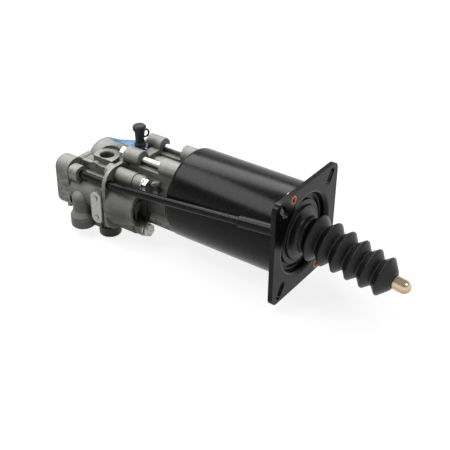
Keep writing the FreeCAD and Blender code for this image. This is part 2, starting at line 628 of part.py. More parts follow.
bar = drooped(rod("bar", "rod_radius", "rod_ahead + rod_behind", ("0", "0", "0")), "-rod_behind")
tips = [ball("bar_tip", "rod_radius", on_rod("rod_ahead")),
        ball("bar_ball", "rod_radius", on_rod("-rod_behind"))]
groove_rim = drooped(rod("groove_rim", "rod_radius + 1", "rod_groove_width", ("0", "0", "0")),
                     "rod_groove_at - rod_groove_width / 2")
groove_core = drooped(rod("groove_core", "rod_radius - rod_groove_depth", "rod_groove_width * 2",
                          ("0", "0", "0")), "rod_groove_at - rod_groove_width")
node(without("ram", joined("ram_solid", [bar] + tips),
             [without("ram_groove", groove_rim, [groove_core])]), "push_rod")

# Power piston with its seal, guide ring, plunger and rod pad

REAR = "piston_front + piston_length"


def from_hub(text):
    """A place along the turned piston, counted from its rear hub."""
    return f"hub_rear - ({text})"


piston = turned("piston", [
    (from_hub("piston_front"), "cup_radius"),
    (from_hub("piston_front"), "cup_rim"),
    (from_hub("web_front"), "cup_rim"),
    (from_hub("web_front"), "rim_inner"),
    (from_hub("piston_front + pad_thick"), "rim_inner"),
    (from_hub("piston_front + pad_thick"), "piston_radius"),
    (from_hub("piston_front + seal_groove_start"), "piston_radius"),
    (from_hub("piston_front + seal_groove_start"), "piston_radius - seal_groove_depth"),
    (from_hub("piston_front + seal_groove_start + seal_groove_width"), "piston_radius - seal_groove_depth"),
    (from_hub("piston_front + seal_groove_start + seal_groove_width"), "piston_radius"),
    (from_hub("piston_front + guide_groove_start"), "piston_radius"),
    (from_hub("piston_front + guide_groove_start"), "piston_radius - guide_groove_depth"),
    (from_hub("piston_front + guide_groove_start + guide_groove_width"),
     "piston_radius - guide_groove_depth"),
    (from_hub("piston_front + guide_groove_start + guide_groove_width"), "piston_radius"),
    (from_hub(REAR), "piston_radius"),
    (from_hub(REAR), "rim_inner"),
    (from_hub("web_rear"), "rim_inner"),
    (from_hub("web_rear"), "cup_rim"),
    ("0", "cup_rim"),
    ("0", "plunger_radius"),
    (from_hub("plunger_front"), "plunger_radius"),
    (from_hub("plunger_front"), "0"),
    (from_hub("piston_front + cup_depth"), "0"),
    (from_hub("piston_front + cup_depth"), "cup_radius"),
], ("-hub_rear", "0", "0"))
node(piston, "power_piston")
node(rod("rod_pad", "cup_radius - pad_clear", "pad_thick", ("-piston_front - cup_depth", "0", "0")),
     "rod_pad")

seal_room = "piston_radius - seal_groove_depth"
lip_reach = "tube_radius - sheet - seal_lip_gap"
seal = turned("lip_seal", [
    ("0", seal_room),
    ("seal_groove_width", seal_room),
    ("seal_groove_width", lip_reach + " - lip_base"),
    ("seal_groove_width - lip_edge", lip_reach + " - lip_base / 2"),
    ("lip_point", lip_reach),
    ("0", lip_reach),
    ("0", lip_reach + " - lip_edge"),
    ("seal_groove_width - lip_back", lip_reach + " - lip_thin"),
    ("seal_groove_width - lip_back", seal_room + " + lip_base"),
    ("0", seal_room + " + lip_base"),
], ("-piston_front - seal_groove_start - seal_groove_width", "0", "0"))
node(seal, "piston_seal")
node(without("guide_ring", rod("guide_ring_outer", lip_reach, "guide_groove_width",
                               ("-piston_front - guide_groove_start - guide_groove_width", "0", "0")),
             [rod("guide_ring_inner", "piston_radius - guide_groove_depth", "guide_groove_width * 3",
                  ("-piston_front - guide_groove_start - 2 * guide_groove_width", "0", "0"))]),
     "piston_guide_ring")
plunger = turned("plunger_bar", [
    ("0", "0"),
    ("0", "plunger_radius - plunger_nose"),
    ("plunger_nose", "plunger_radius"),
    ("at_plunger_rear - plunger_front", "plunger_radius"),
    ("at_plunger_rear - plunger_front", "0"),
], ("-at_plunger_rear", "0", "0"))
node(plunger, "hydraulic_plunger")

SPRING_FROM = "-(tube_length - sheet - head_disc_thick) + preload_wire + end_gap"
node(spring("preload", "preload_radius", "preload_wire", "preload_pitch",
            "tube_length - sheet - head_disc_thick - web_rear - 2 * preload_wire - 2 * end_gap",
            (SPRING_FROM, "0", "0")), "preload_spring")

# Cylinder head: the casting that closes the cylinder and carries the plunger's bush

DISC_REAR = "-(tube_length - sheet)"
head_parts = [
    eased("head_disc", rod("head_disc_blank", "tube_radius - sheet - head_fit", "head_disc_thick",
                           (DISC_REAR, "0", "0")),
          lambda edge: edge.Curve.TypeId == "Part::GeomCircle", mm("press_round") + mm("fold_clear")),
    rod("head_neck", "rear_lip_radius - 2 * head_fit", "at_head_neck_end - tube_length + sheet",
        ("-at_head_neck_end", "0", "0")),
    rod("head_core_tube", "head_core", "at_joint_at - tube_length + sheet", ("-at_joint_at", "0", "0")),
]
boss_front = "tube_length + boss_clear"
for n, (side, up) in enumerate(CORNERS):
    spot = (f"{side}bolt_across", f"{up}bolt_up")
    head_parts.append(rod(f"head_boss_{n}", "boss_radius", f"at_head_boss_end - ({boss_front})",
                          ("-at_head_boss_end", *spot)))
    inner = "trough_in" if side == "" else "-trough_out"
    low = "trough_low" if up == "" else "-trough_top"
    head_parts.append(block(f"trough_{n}", ("at_joint_at - at_head_neck_end", "trough_out - trough_in",
                                            "trough_top - trough_low"), ("-at_joint_at", inner, low)))
SHELF_LENGTH = "at_joint_at - at_shelf_front"
shelf = plate("shelf_plate", [
    ("0", "0"),
    (SHELF_LENGTH, "0"),
    (SHELF_LENGTH, "shelf_out - shelf_in - shelf_corner"),
    (SHELF_LENGTH + " - shelf_corner", "shelf_out - shelf_in"),
    (SHELF_LENGTH + " - shelf_depth", "shelf_out - shelf_in"),
    (SHELF_LENGTH + " - shelf_depth", "shelf_notch - shelf_in"),
    ("0", "shelf_notch - shelf_in"),
], "shelf_thick", ("-at_shelf_front - (" + SHELF_LENGTH + ")", "-shelf_in", "shelf_top"),
    turn=FreeCAD.Rotation(FreeCAD.Vector(1, 0, 0), 180), plane="XY_Plane")
head_parts.append(shelf)
head_parts += [
    block("shelf_middle", ("shelf_depth", "shelf_out - shelf_in - shelf_step", "rib_thick"),
          ("-at_shelf_front - shelf_depth", "-shelf_out + shelf_step", "shelf_low - rib_thick")),
    block("ledge", ("at_joint_at - at_ledge_end", "ledge_out - trough_in", "rib_thick"),
          ("-at_joint_at", "-ledge_out", "-ledge_low - rib_thick")),
    rod("foot", "foot_radius", f"at_foot_rear - ({boss_front})", ("-at_foot_rear", "-foot_y", "-foot_z")),
    block("foot_web", ("rib_thick", "foot_y - trough_in", "foot_z - ledge_low"),
          ("-at_foot_web_at", "-foot_y", "-foot_z")),
]
head_tools = [
    rod("head_bore", "plunger_radius + bore_ease", "at_joint_at", ("-at_joint_at - bore_ease", "0", "0")),
    rod("head_bush_room", "bush_outer", "bush_length * 2",
        (DISC_REAR + " + head_disc_thick - bush_length", "0", "0")),
    without("head_ring_groove", rod("head_ring_outer", "tube_radius", "ring_groove_width",
                                    (DISC_REAR + " + ring_groove_at", "0", "0")),
            [rod("head_ring_inner", "tube_radius - sheet - ring_groove_depth", "ring_groove_width * 3",
                 (DISC_REAR + " + ring_groove_at - ring_groove_width", "0", "0"))]),
]
for n, (side, up) in enumerate(CORNERS):
    head_tools.append(rod(f"head_thread_{n}", "bolt_radius", "at_head_boss_end - at_bolt_tip + 2 * bore_ease",
                          ("-at_head_boss_end - bore_ease", f"{side}bolt_across", f"{up}bolt_up")))
    head_tools.append(rod(f"trough_room_{n}", "trough_room", "at_joint_at - at_head_boss_end",
                          ("-at_joint_at", f"{side}bolt_across", f"{up}(bolt_up + trough_room_up)")))
head = without("head", joined("head_solid", head_parts), head_tools)
node(head, "cylinder_head")
node(hoop("head_ring", "tube_radius - sheet - ring_groove_depth / 2 - head_fit",
          "ring_groove_depth / 2 - head_fit",
          (DISC_REAR + " + ring_groove_at + ring_groove_width / 2", "0", "0")),
     "head_o_ring")
node(without("bush", rod("bush_solid", "bush_outer", "bush_length",
                         (DISC_REAR + " + head_disc_thick - bush_length", "0", "0")),
             [rod("bush_bore", "plunger_radius + bore_clear", "bush_length * 3",
                  (DISC_REAR + " + head_disc_thick - bush_length * 2", "0", "0"))]), "plunger_bush")

# Hydraulic housing with its four lugs, fluid port and bleed boss

core = eased("hyd_core_round",
             rod("hyd_core", "head_core", "at_hyd_end - at_joint_at", ("-at_hyd_end", "0", "0")),
             lambda edge: edge.Curve.TypeId == "Part::GeomCircle" and
             abs(edge.Curve.Center.x + mm("at_hyd_end")) < 0.1, mm("hyd_round"))
hyd_parts = [core]
for n, (side, up) in enumerate(CORNERS):
    lug = rod(f"lug_{n}", "boss_radius", "at_lug_end - at_joint_at",
              ("-at_lug_end", f"{side}bolt_across", f"{up}bolt_up"))
    hyd_parts.append(eased(f"lug_round_{n}", lug, lambda edge: edge.Curve.TypeId == "Part::GeomCircle",
                           mm("lug_round")))
hyd_parts.append(block("lug_web_wide",
                       ("lug_web", "2 * (bolt_across + boss_radius - lug_round)", "2 * bolt_up"),
                       ("-at_joint_at - lug_web", "-bolt_across - boss_radius + lug_round", "-bolt_up")))
hyd_parts.append(block("lug_web_tall", ("lug_web", "2 * bolt_across", "2 * (trough_top + lug_round)"),
                       ("-at_joint_at - lug_web", "-bolt_across", "-trough_top - lug_round")))
hyd_parts.append(block("near_wall",
                       ("at_wall_at - at_wall_end", "wall_near - trough_in", "wall_top - wall_low"),
                       ("-at_wall_at", "-wall_near", "wall_low")))
port = rod("port_boss_solid", "port_boss", "port_top - port_foot",
           ("-at_port_x", "-port_y", "port_foot"), "z")
port_soft = eased("port_boss_round", port, lambda edge: edge.Curve.TypeId == "Part::GeomCircle" and
                  abs(edge.Curve.Center.z - mm("port_top")) < 0.1, mm("port_round"))
port_side = block("port_side", ("2 * port_boss", "port_boss", "2 * port_top"),
                  ("-at_port_x - port_boss", "-pad_face - port_boss", "0"))
hyd_parts.append(without("port_boss_flat", port_soft, [port_side]))
hyd_parts.append(rod("bleed_boss_solid", "bleed_boss", "bleed_boss_top - bleed_foot",
                     ("-at_bleed_x", "0", "bleed_foot"), "z"))


def joint_outline(name, thick, face):
    """The rounded rectangle with six lobes that pad, gasket and flange of the valve joint share."""
    sheet_part = block(name + "_sheet", ("at_pad_rear - at_pad_front", thick, "pad_top + pad_low"),
                       ("-at_pad_rear", face, "-pad_low"))
    return eased(name + "_round", sheet_part, along("y"), mm("pad_round"))


LOBES = [(f"-at_lobe_{place}", z)
         for z in ("lobe_up", "-lobe_down") for place in ("rear", "middle", "front")]
hyd_parts.append(joint_outline("valve_pad", "pad_face - pad_root", "-pad_face"))
for n, (x, z) in enumerate(LOBES):
    hyd_parts.append(rod(f"pad_lobe_{n}", "lobe_radius", "lobe_depth", (x, "-pad_face", z), "y"))
hyd_tools = [
    rod("hyd_bore", "plunger_radius + bore_clear", "at_hyd_bore_end - at_joint_at + 1",
        ("-at_hyd_bore_end", "0", "0")),
    rod("port_spot_face", "port_boss", "spot_rise", ("-at_port_x", "-port_y", "port_top"), "z"),
    rod("hyd_seal_room", "bush_outer", "seal_room_length", ("-at_joint_at - seal_room_depth", "0", "0")),
    rod("port_thread_hole", "port_thread", "port_depth + 1",
        ("-at_port_x", "-port_y", "port_top - port_depth"), "z"),
    cone("port_mouth_cone", "port_thread", "port_mouth", "port_mouth_depth",
         ("-at_port_x", "-port_y", "port_top - port_mouth_depth + bore_clear"), "z"),
    rod("bleed_hole", "bleed_thread", "bleed_hole_depth * 2",
        ("-at_bleed_x", "0", "bleed_boss_top - bleed_hole_depth"),
        "z"),
    rod("bleed_drill", "bleed_bore", "bleed_boss_top", ("-at_bleed_x", "0", "bleed_drill_foot"), "z"),
]
slant = rod("port_channel", "channel", "port_channel_length", ("0", "0", "0"))
hyd_tools.append(put(slant, ("-at_port_x", "-port_y", "port_top - port_depth + channel"),
                     FreeCAD.Rotation(FreeCAD.Vector(1, 0, 0), -90 - mm("port_channel_turn"))))
for n, (side, up) in enumerate(CORNERS):
    hyd_tools.append(rod(f"lug_hole_{n}", "bolt_radius + bolt_clear",
                         "at_lug_end - at_joint_at + 2 * bolt_radius",
                         ("-at_lug_end - bolt_radius", f"{side}bolt_across", f"{up}bolt_up")))
SCREWED = [LOBES[0], LOBES[2], LOBES[3], LOBES[4]]
for n, (x, z) in enumerate(SCREWED):
    hyd_tools.append(rod(f"pad_thread_{n}", "screw_radius", "screw_thread + 2 * gasket_thick",
                         (x, "-pad_face - gasket_thick", z), "y"))
node(without("hydraulic", joined("hydraulic_solid", hyd_parts), hyd_tools), "hydraulic_housing")
node(without("cup_seal", rod("cup_seal_outer", "bush_outer", "seal_thick",
                             ("-at_joint_at - seal_room_depth + bore_ease", "0", "0")),
             [rod("cup_seal_inner", "plunger_radius + seal_grip", "3 * seal_thick",
                  ("-at_joint_at - seal_room_depth - seal_thick", "0", "0"))]), "plunger_seal")

bolts, washers = [], []
for n, (side, up) in enumerate(CORNERS):
    spot = (f"{side}bolt_across", f"{up}bolt_up")
    shank = rod(f"tie_shank_{n}", "bolt_radius", "at_lug_end + washer_thick - at_bolt_tip",
                ("-at_lug_end - washer_thick", *spot))
    cap = hexagon(f"tie_head_{n}", "bolt_head_flats", "bolt_head_height",
                  ("-at_lug_end - washer_thick - bolt_head_height", *spot))
    bolts.append(joined(f"tie_bolt_{n}", [shank, cap]))
    washers.append(without(f"tie_washer_{n}",
                           rod(f"tie_washer_solid_{n}", "washer_outer", "washer_thick",
                               ("-at_lug_end - washer_thick", *spot)),
                           [rod(f"tie_washer_hole_{n}", "bolt_radius + bolt_clear", "washer_thick * 3",
                                ("-at_lug_end - 2 * washer_thick", *spot))]))
node(joined("tie_bolt_set", bolts), "tie_bolts")
node(joined("tie_washer_set", washers), "tie_bolt_washers")

# Bleed screw, its dust cap with strap, and the tag held under the cap

thread = rod("bleed_thread_bar", "bleed_thread", "bleed_thread_length",
             ("-at_bleed_x", "0", "bleed_boss_top - bleed_thread_length"), "z")
flats = hexagon("bleed_hex", "bleed_hex_flats", "bleed_hex_height",
                ("-at_bleed_x", "0", "bleed_boss_top"), "z")
neck = rod("bleed_neck_bar", "bleed_neck", "bleed_top - bleed_boss_top",
           ("-at_bleed_x", "0", "bleed_boss_top"), "z")
node(without("bleeder", joined("bleeder_solid", [thread, flats, neck]),
             [rod("bleeder_bore", "bleed_bore", "bleed_top", ("-at_bleed_x", "0", "bleed_foot"), "z")]),
     "bleed_screw")
hollow = "bleed_neck + cap_grip"
cap = turned("cap", [
    (hollow, "0"),
    ("cap_flare", "0"),
    ("cap_flare - cap_grip", "cap_flare_high"),
    ("cap_waist", "cap_waist_high"),
    ("cap_body", "cap_brim_low - cap_bottom - cap_slope"),
    ("cap_brim", "cap_brim_low - cap_bottom"),
    ("cap_brim", "cap_top - cap_bottom - cap_edge"),
    ("cap_brim - cap_edge", "cap_top - cap_bottom"),
    ("0", "cap_top - cap_bottom"),
    ("0", "bleed_top - cap_bottom + cap_grip"),
    (hollow, "bleed_top - cap_bottom + cap_grip"),
], ("-at_bleed_x", "0", "cap_bottom"), upright=True)
strap = hoop("cap_strap", "strap_radius", "strap_thick / 2", ("0", "0", "0"))
put(strap, ("-at_bleed_x + strap_out * cos(strap_turn)", "strap_out * sin(strap_turn)",
            "cap_brim_low - strap_radius + strap_rise"),
    FreeCAD.Rotation(FreeCAD.Vector(0, 0, 1), mm("strap_turn") + 90) * TURNS["x"])
strap_room = rod("strap_room", "cap_waist - cap_grip", "cap_top - cap_bottom - 2 * cap_edge",
                 ("-at_bleed_x", "0", "cap_bottom"), "z")
node(joined("cap_with_strap", [cap, without("strap_outside", strap, [strap_room])]), "dust_cap")
tag = plate("tag_blank", [
    ("-tag_length", "-5.8"),
    ("-33", "-8.6"),
    ("-12.5", "-8.7"),
    ("1.5", "-7.4"),
    ("9.8", "1.9"),
    ("4", "8.6"),
    ("-12", "7.3"),
    ("-27.7", "-2.6"),
], "tag_thick", ("-at_bleed_x", "0", "cap_bottom - tag_thick - tag_clear"), plane="XY_Plane")
node(without("tag", tag, [rod("tag_hole", "bleed_neck + tag_grip", "5 * tag_thick",
                              ("-at_bleed_x", "0", "cap_bottom - 4 * tag_thick"), "z")]), "fluid_tag")

# Valve housing: bolted to the side of the hydraulic housing through a lobed joint

JOINT_Y = "pad_face + gasket_thick"
FRONT_X = "-at_plate_rear"
body_length = "at_body_rear - at_plate_rear"
housing_parts = [
    rod("valve_barrel", "body_radius", body_length, ("-at_body_rear", "-valve_y", "-valve_z")),
    block("valve_bridge", (body_length, f"valve_y - ({JOINT_Y})", "bridge_low + bridge_high"),
          ("-at_body_rear", "-valve_y", "-valve_z - bridge_low")),
    joint_outline("joint_flange", "joint_thick", f"-({JOINT_Y}) - joint_thick"),
]
for n, (x, z) in enumerate(LOBES):
    housing_parts.append(rod(f"joint_lobe_{n}", "lobe_radius", "joint_thick",
                             (x, f"-({JOINT_Y}) - joint_thick", z), "y"))
supply_spot = ("-at_supply_x", "-supply_y")
supply = eased("supply_round", rod("supply_tube", "supply_radius", "supply_low - collar_at",
                                   (*supply_spot, "-supply_low"), "z"),
               lambda edge: edge.Curve.TypeId == "Part::GeomCircle" and
               abs(edge.Curve.Center.z + mm("supply_low")) < 0.1, mm("supply_round"))
housing_parts += [
    supply,
    cone("supply_slope_part", "supply_radius", "supply_neck", "supply_slope",
         (*supply_spot, "-collar_at"), "z"),
    rod("supply_neck_tube", "supply_neck", "collar_at - supply_top", (*supply_spot, "-collar_at"), "z"),
    block("supply_web_part",
          ("at_supply_x - at_exhaust_x", "supply_web", "exhaust_low - supply_top - supply_neck"),
          ("-at_supply_x", "-valve_y - supply_web", "-exhaust_low + bore_ease")),
    ball("supply_dome", "supply_neck", (*supply_spot, "-supply_top")),
    block("supply_bridge", ("supply_depth", "supply_y - valve_y", "collar_at - supply_top"),
          ("-at_supply_x - supply_depth / 2", "-supply_y", "-collar_at")),
    rod("exhaust_boss", "exhaust_radius", "exhaust_low - valve_z",
        ("-at_exhaust_x", "-exhaust_y", "-exhaust_low"), "z"),
    eased("pipe_shoulder", block("pipe_shoulder_solid", (
        "socket_length", "shoulder_near - shoulder_far", "shoulder_top - shoulder_low"),
        ("-at_pipe_start - socket_back", "-shoulder_near", "shoulder_low")), along("x"),
        mm("shoulder_round")),
    block("pipe_socket_web", ("socket_length", "socket_web", "pipe_z + valve_z"),
          ("-at_pipe_start - socket_back", "-pipe_y - socket_web / 3", "-valve_z")),
    eased("label_pad_round",
          block("label_pad_solid", ("label_wide + 2 * label_pad_edge", "label_pad - valve_y",
                                    "label_high + 2 * label_pad_edge"),
                ("-at_label_x - label_wide / 2 - label_pad_edge", "-label_pad",
                 "-label_z - label_high / 2 - label_pad_edge")), along("y"), mm("label_pad_round")),
]
for n, z in enumerate(("valve_bolt_top", "-valve_bolt_low")):
    housing_parts.append(rod(f"valve_nut_boss_{n}", "bolt_boss", "nut_boss_length",
                             (FRONT_X + " - nut_boss_length", "-valve_bolt_y", z)))
housing_parts.append(block("valve_nut_web",
                           ("nut_boss_length", "bolt_boss", "valve_bolt_top + valve_bolt_low"),
                           (FRONT_X + " - nut_boss_length", "-valve_bolt_y - bolt_boss / 2",
                            "-valve_bolt_low")))
axis = ("-valve_y", "-valve_z")
housing_tools = [
    rod("valve_main_bore", "valve_bore", "at_guide_front - at_plate_rear + bore_ease",
        ("-at_guide_front", *axis)),
    rod("valve_guide_bore", "poppet_stem + bore_clear", "at_guide_rear - at_guide_front + 2 * bore_ease",
        ("-at_guide_rear - bore_ease", *axis)),
    rod("valve_rear_room", "rear_room", "at_body_rear - at_guide_rear + bore_ease",
        ("-at_body_rear - bore_ease", *axis)),
    rod("supply_port_bore", "supply_bore", "supply_depth + bore_ease",
        (*supply_spot, "-supply_low - bore_ease"), "z"),
    rod("supply_drilling", "supply_drill", "supply_low - supply_top",
        (*supply_spot, "-supply_low + bore_ease"), "z"),
    rod("supply_cross", "supply_drill", "supply_y - valve_y",
        (*supply_spot, "-supply_top - supply_drill"), "y"),
    rod("exhaust_port_bore", "exhaust_bore", "exhaust_low - valve_z - valve_bore / 2",
        ("-at_exhaust_x", "-exhaust_y", "-exhaust_low - bore_ease"), "z"),
    rod("pipe_socket_bore", "pipe_radius + sleeve_clear", "socket_length",
        ("-at_pipe_start", "-pipe_y", "pipe_z")),
]
for n, depth in enumerate(SEAL_DEPTHS):
    housing_tools.append(rod(f"pipe_seal_room_{n}", "pipe_radius + 2 * seal_section + seal_ease",
                             "2 * (seal_section + seal_ease)",
                             (f"-at_pipe_start + {depth} - seal_section - seal_ease", "-pipe_y", "pipe_z")))
for n, z in enumerate(("valve_bolt_top", "-valve_bolt_low")):
    housing_tools.append(rod(f"valve_thread_{n}", "bolt_radius", "nut_boss_length",
                             (FRONT_X + " - nut_boss_length + bore_ease", "-valve_bolt_y", z)))
for n, (x, z) in enumerate(SCREWED):
    housing_tools.append(rod(f"joint_hole_{n}", "screw_radius + screw_clear", "2 * joint_thick",
                             (x, f"-({JOINT_Y}) - 1.5 * joint_thick", z), "y"))
    housing_tools.append(rod(f"joint_head_room_{n}", "screw_head + screw_clear",
                             "screw_head_thick + gasket_thick",
                             (x, f"-({JOINT_Y}) - joint_thick - gasket_thick", z), "y"))
housing_tools.append(block("joint_far_side", ("at_body_rear", "valve_y", "4 * body_radius"),
                           ("-at_hyd_end", f"-({JOINT_Y})", "-valve_z - 2 * body_radius")))
node(without("valve_body", joined("valve_body_solid", housing_parts), housing_tools), "valve_housing")

gasket_parts = [joint_outline("gasket", "gasket_thick", f"-({JOINT_Y})")]
for n, (x, z) in enumerate(LOBES):
    gasket_parts.append(rod(f"gasket_lobe_{n}", "lobe_radius", "gasket_thick", (x, f"-({JOINT_Y})", z), "y"))
gasket_tools = [rod(f"gasket_hole_{n}", "screw_radius + screw_clear", "6 * gasket_thick",
                    (x, f"-({JOINT_Y}) - 3 * gasket_thick", z), "y") for n, (x, z) in enumerate(SCREWED)]
node(without("gasket", joined("gasket_solid", gasket_parts), gasket_tools), "valve_gasket")
screws = []
for n, (x, z) in enumerate(SCREWED):
    sunk = f"-({JOINT_Y}) - joint_thick + screw_sunk"
    screws.append(without(f"joint_screw_{n}", joined(f"joint_screw_solid_{n}", [
        rod(f"joint_shank_{n}", "screw_radius", "joint_thick + gasket_thick + screw_thread - screw_sunk",
            (x, sunk, z), "y"),
        rod(f"joint_head_{n}", "screw_head", "screw_head_thick - screw_sunk", (x, sunk, z), "y")]),
        [hexagon(f"joint_key_{n}", "screw_key", "screw_head_thick / 2", (x, sunk, z), "y")]))
node(joined("joint_screws", screws), "valve_housing_screws")

# Valve cap: the bowl with the relay cylinder inside and the two long bolt bosses

cap_plate = plate("cap_plate", [
    ("-plate_near", "-plate_low"),
    ("-plate_far", "-plate_low"),
    ("-plate_far", "plate_high"),
    ("-plate_near", "plate_high"),
], "plate_thick", (FRONT_X, "0", "0"))
doc.recompute()
cap_plate_eased = eased("cap_plate_round", cap_plate, lambda edge: along("x")(edge) and
                        edge.CenterOfMass.y < -mm("plate_near") + 1, mm("plate_corner"))
PLATE_FRONT = "-at_plate_rear + plate_thick"
BOWL_AT = (PLATE_FRONT, "-bowl_y", "-bowl_z")


def bowl_slice(name, lengths, at):
    """A slab across the bowl's own cone, such as its back wall or a rib."""
    return shared(name, cone(name + "_cone", "bowl_base", "bowl_end", "bowl_length", BOWL_AT),
                  block(name + "_slab", lengths, at))


bowl_outer = cone("bowl_outer", "bowl_base", "bowl_end", "bowl_length", BOWL_AT)
bowl_inner = cone("bowl_inner", "bowl_base - bowl_wall", "bowl_end - bowl_wall", "bowl_length", BOWL_AT)
far_half = block("bowl_far_side", ("2 * bowl_length", "2 * bowl_base", "4 * bowl_base"),
                 (PLATE_FRONT + " - bowl_length / 2", "-plate_far", "-bowl_z - 2 * bowl_base"))
cap_parts = [
    cap_plate_eased,
    without("bowl_shell", bowl_outer, [bowl_inner, far_half]),
    bowl_slice("bowl_back", ("bowl_length", "bowl_wall", "4 * bowl_base"),
               (PLATE_FRONT, "-plate_far - bowl_wall", "-bowl_z - 2 * bowl_base")),
    bowl_slice("bowl_rib_up", ("bowl_length - rib_step", "bowl_rib", "4 * bowl_base"),
               (PLATE_FRONT, "-valve_y - bowl_rib / 2", "-bowl_z - 2 * bowl_base")),
    bowl_slice("bowl_rib_across", ("bowl_length - rib_step", "plate_near - plate_far", "bowl_rib"),
               (PLATE_FRONT, "-plate_near", "-valve_z - bowl_rib / 2")),
    rod("relay_hub", "hub_radius", "hub_depth", (PLATE_FRONT, *axis)),
]
for n, z in enumerate(("valve_bolt_top", "-valve_bolt_low")):
    spot = (PLATE_FRONT, "-valve_bolt_y", z)
    cap_parts.append(rod(f"valve_bolt_boss_{n}", "bolt_boss", "boss_step", spot))
    cap_parts.append(rod(f"valve_bolt_sleeve_{n}", "bolt_sleeve", "valve_boss_length", spot))
cap_tools = [
    rod("relay_bore", "hub_bore", "hub_depth + plate_thick - hub_skin", (FRONT_X, *axis)),
    rod("cap_pipe_hole", "pipe_radius + pipe_gap", "2 * valve_boss_length",
        ("-at_plate_rear - plate_thick", "-pipe_y", "pipe_z")),
    rod("breather_hole", "relay_breather", "hub_depth * 2", (PLATE_FRONT, *axis)),
]
for n, z in enumerate(("valve_bolt_top", "-valve_bolt_low")):
    cap_tools.append(rod(f"valve_bolt_hole_{n}", "bolt_radius + bolt_clear",
                         "valve_boss_length + 3 * plate_thick",
                         ("-at_plate_rear - plate_thick", "-valve_bolt_y", z)))
node(without("bowl", joined("bowl_solid", cap_parts), cap_tools), "valve_cap")
BOSS_FRONT = "-at_plate_rear + plate_thick + valve_boss_length"
valve_bolts, valve_washers = [], []
for n, z in enumerate(("valve_bolt_top", "-valve_bolt_low")):
    shank = rod(f"valve_shank_{n}", "bolt_radius",
                "nut_boss_length - 2 * bore_ease + plate_thick + valve_boss_length + washer_thick",
                (FRONT_X + " - nut_boss_length + 2 * bore_ease", "-valve_bolt_y", z))
    cap_hex = hexagon(f"valve_hex_{n}", "bolt_head_flats", "bolt_head_height",
                      (BOSS_FRONT + " + washer_thick", "-valve_bolt_y", z))
    valve_bolts.append(joined(f"valve_bolt_{n}", [shank, cap_hex]))
    valve_washers.append(without(f"valve_washer_{n}",
                                 rod(f"valve_washer_solid_{n}", "washer_outer", "washer_thick",
                                     (BOSS_FRONT, "-valve_bolt_y", z)),
                                 [rod(f"valve_washer_hole_{n}", "bolt_radius + bolt_clear",
                                      "washer_thick * 3",
                                      (BOSS_FRONT + " - washer_thick", "-valve_bolt_y", z))]))
node(joined("valve_bolt_set", valve_bolts), "valve_bolts")
node(joined("valve_washer_set", valve_washers), "valve_bolt_washers")

# Relay piston, poppet, seat and their springs inside the valve

def from_stem(text):
    """A place along the turned relay piston, counted from the rear end of its stem."""
    return f"at_seat_at + seat_thick - valve_gap - at_relay_front - ({text})"


ring_groove = [("relay_length / 2 + relay_groove / 2", "relay_radius"),
               ("relay_length / 2 + relay_groove / 2", "relay_radius - 2 * ring_section"),
               ("relay_length / 2 - relay_groove / 2", "relay_radius - 2 * ring_section"),
               ("relay_length / 2 - relay_groove / 2", "relay_radius")]
relay = turned("relay", [("0", "relay_bore"), ("0", "relay_stem")] + [
    (from_stem(place), radius) for place, radius in
    [("relay_length", "relay_stem"), ("relay_length", "relay_radius")] + ring_groove +
    [("0", "relay_radius"), ("0", "relay_bore")]
], ("-at_seat_at - seat_thick + valve_gap", *axis))
node(relay, "relay_piston")
node(hoop("relay_ring", "hub_bore - bore_clear - ring_section", "ring_section",
          ("-at_relay_front - relay_length / 2", *axis)), "relay_piston_ring")
node(without("seat", rod("seat_solid", "valve_bore", "seat_thick", ("-at_seat_at - seat_thick", *axis)),
             [rod("seat_hole", "seat_bore", "seat_thick * 3",
                  ("-at_seat_at - 2 * seat_thick", *axis))]), "valve_seat")
POPPET_FACE = "-at_seat_at - seat_thick - bore_clear"
node(joined("poppet", [
    rod("poppet_disc", "poppet_radius", "poppet_thick", (POPPET_FACE + " - poppet_thick", *axis)),
    rod("poppet_bar", "poppet_stem", "poppet_length + poppet_thick / 2",
        (POPPET_FACE + " - poppet_thick - poppet_length", *axis))]), "valve_poppet")
node(spring("relay_coil", "seat_bore + coil_out", "spring_wire", "relay_pitch",
            "at_seat_at - at_relay_front - relay_length - 2 * spring_wire - 2 * end_gap",
            ("-at_seat_at + spring_wire + end_gap", *axis)), "relay_spring")
node(spring("poppet_coil", "poppet_radius - coil_in", "spring_wire", "poppet_pitch",
            "at_guide_front - at_seat_at - seat_thick - bore_clear - poppet_thick"
            " - 2 * spring_wire - 2 * end_gap",
            ("-at_guide_front + spring_wire + end_gap", *axis)), "poppet_spring")

# Rear cover, plugs, exhaust cap and label

cover_blank = plate("cover_blank", [
    ("-cover_near", "-cover_low"),
    ("-cover_far", "-cover_low"),
    ("-cover_far", "cover_high"),
    ("-cover_near", "cover_high"),
], "cover_length", ("-at_body_rear - cover_length", "0", "0"), "cover_corner")
cover_soft = eased("cover_soft", cover_blank, lambda edge: abs(edge.CenterOfMass.x + mm("at_body_rear")
                   + mm("cover_length")) < 0.01, mm("cover_round"))
PLUG_AT = ("-at_body_rear - cover_length / 2", "-plug_y")
cover_tools = [
    rod("cover_room", "rear_room", "cover_length - cover_wall",
        ("-at_body_rear - cover_length + cover_wall", *axis)),
    block("cover_split_near", ("cover_length * 2", "split_line * 2", "split_line * 2"),
          ("-at_body_rear - cover_length * 1.5", "-cover_near - split_line", "-cover_z - split_line")),
    rod("cover_plug_hole", "plug_radius", "plug_reach + bore_ease",
        (*PLUG_AT, "-cover_low - bore_ease"), "z"),
]
node(without("cover", cover_soft, cover_tools), "rear_cover")
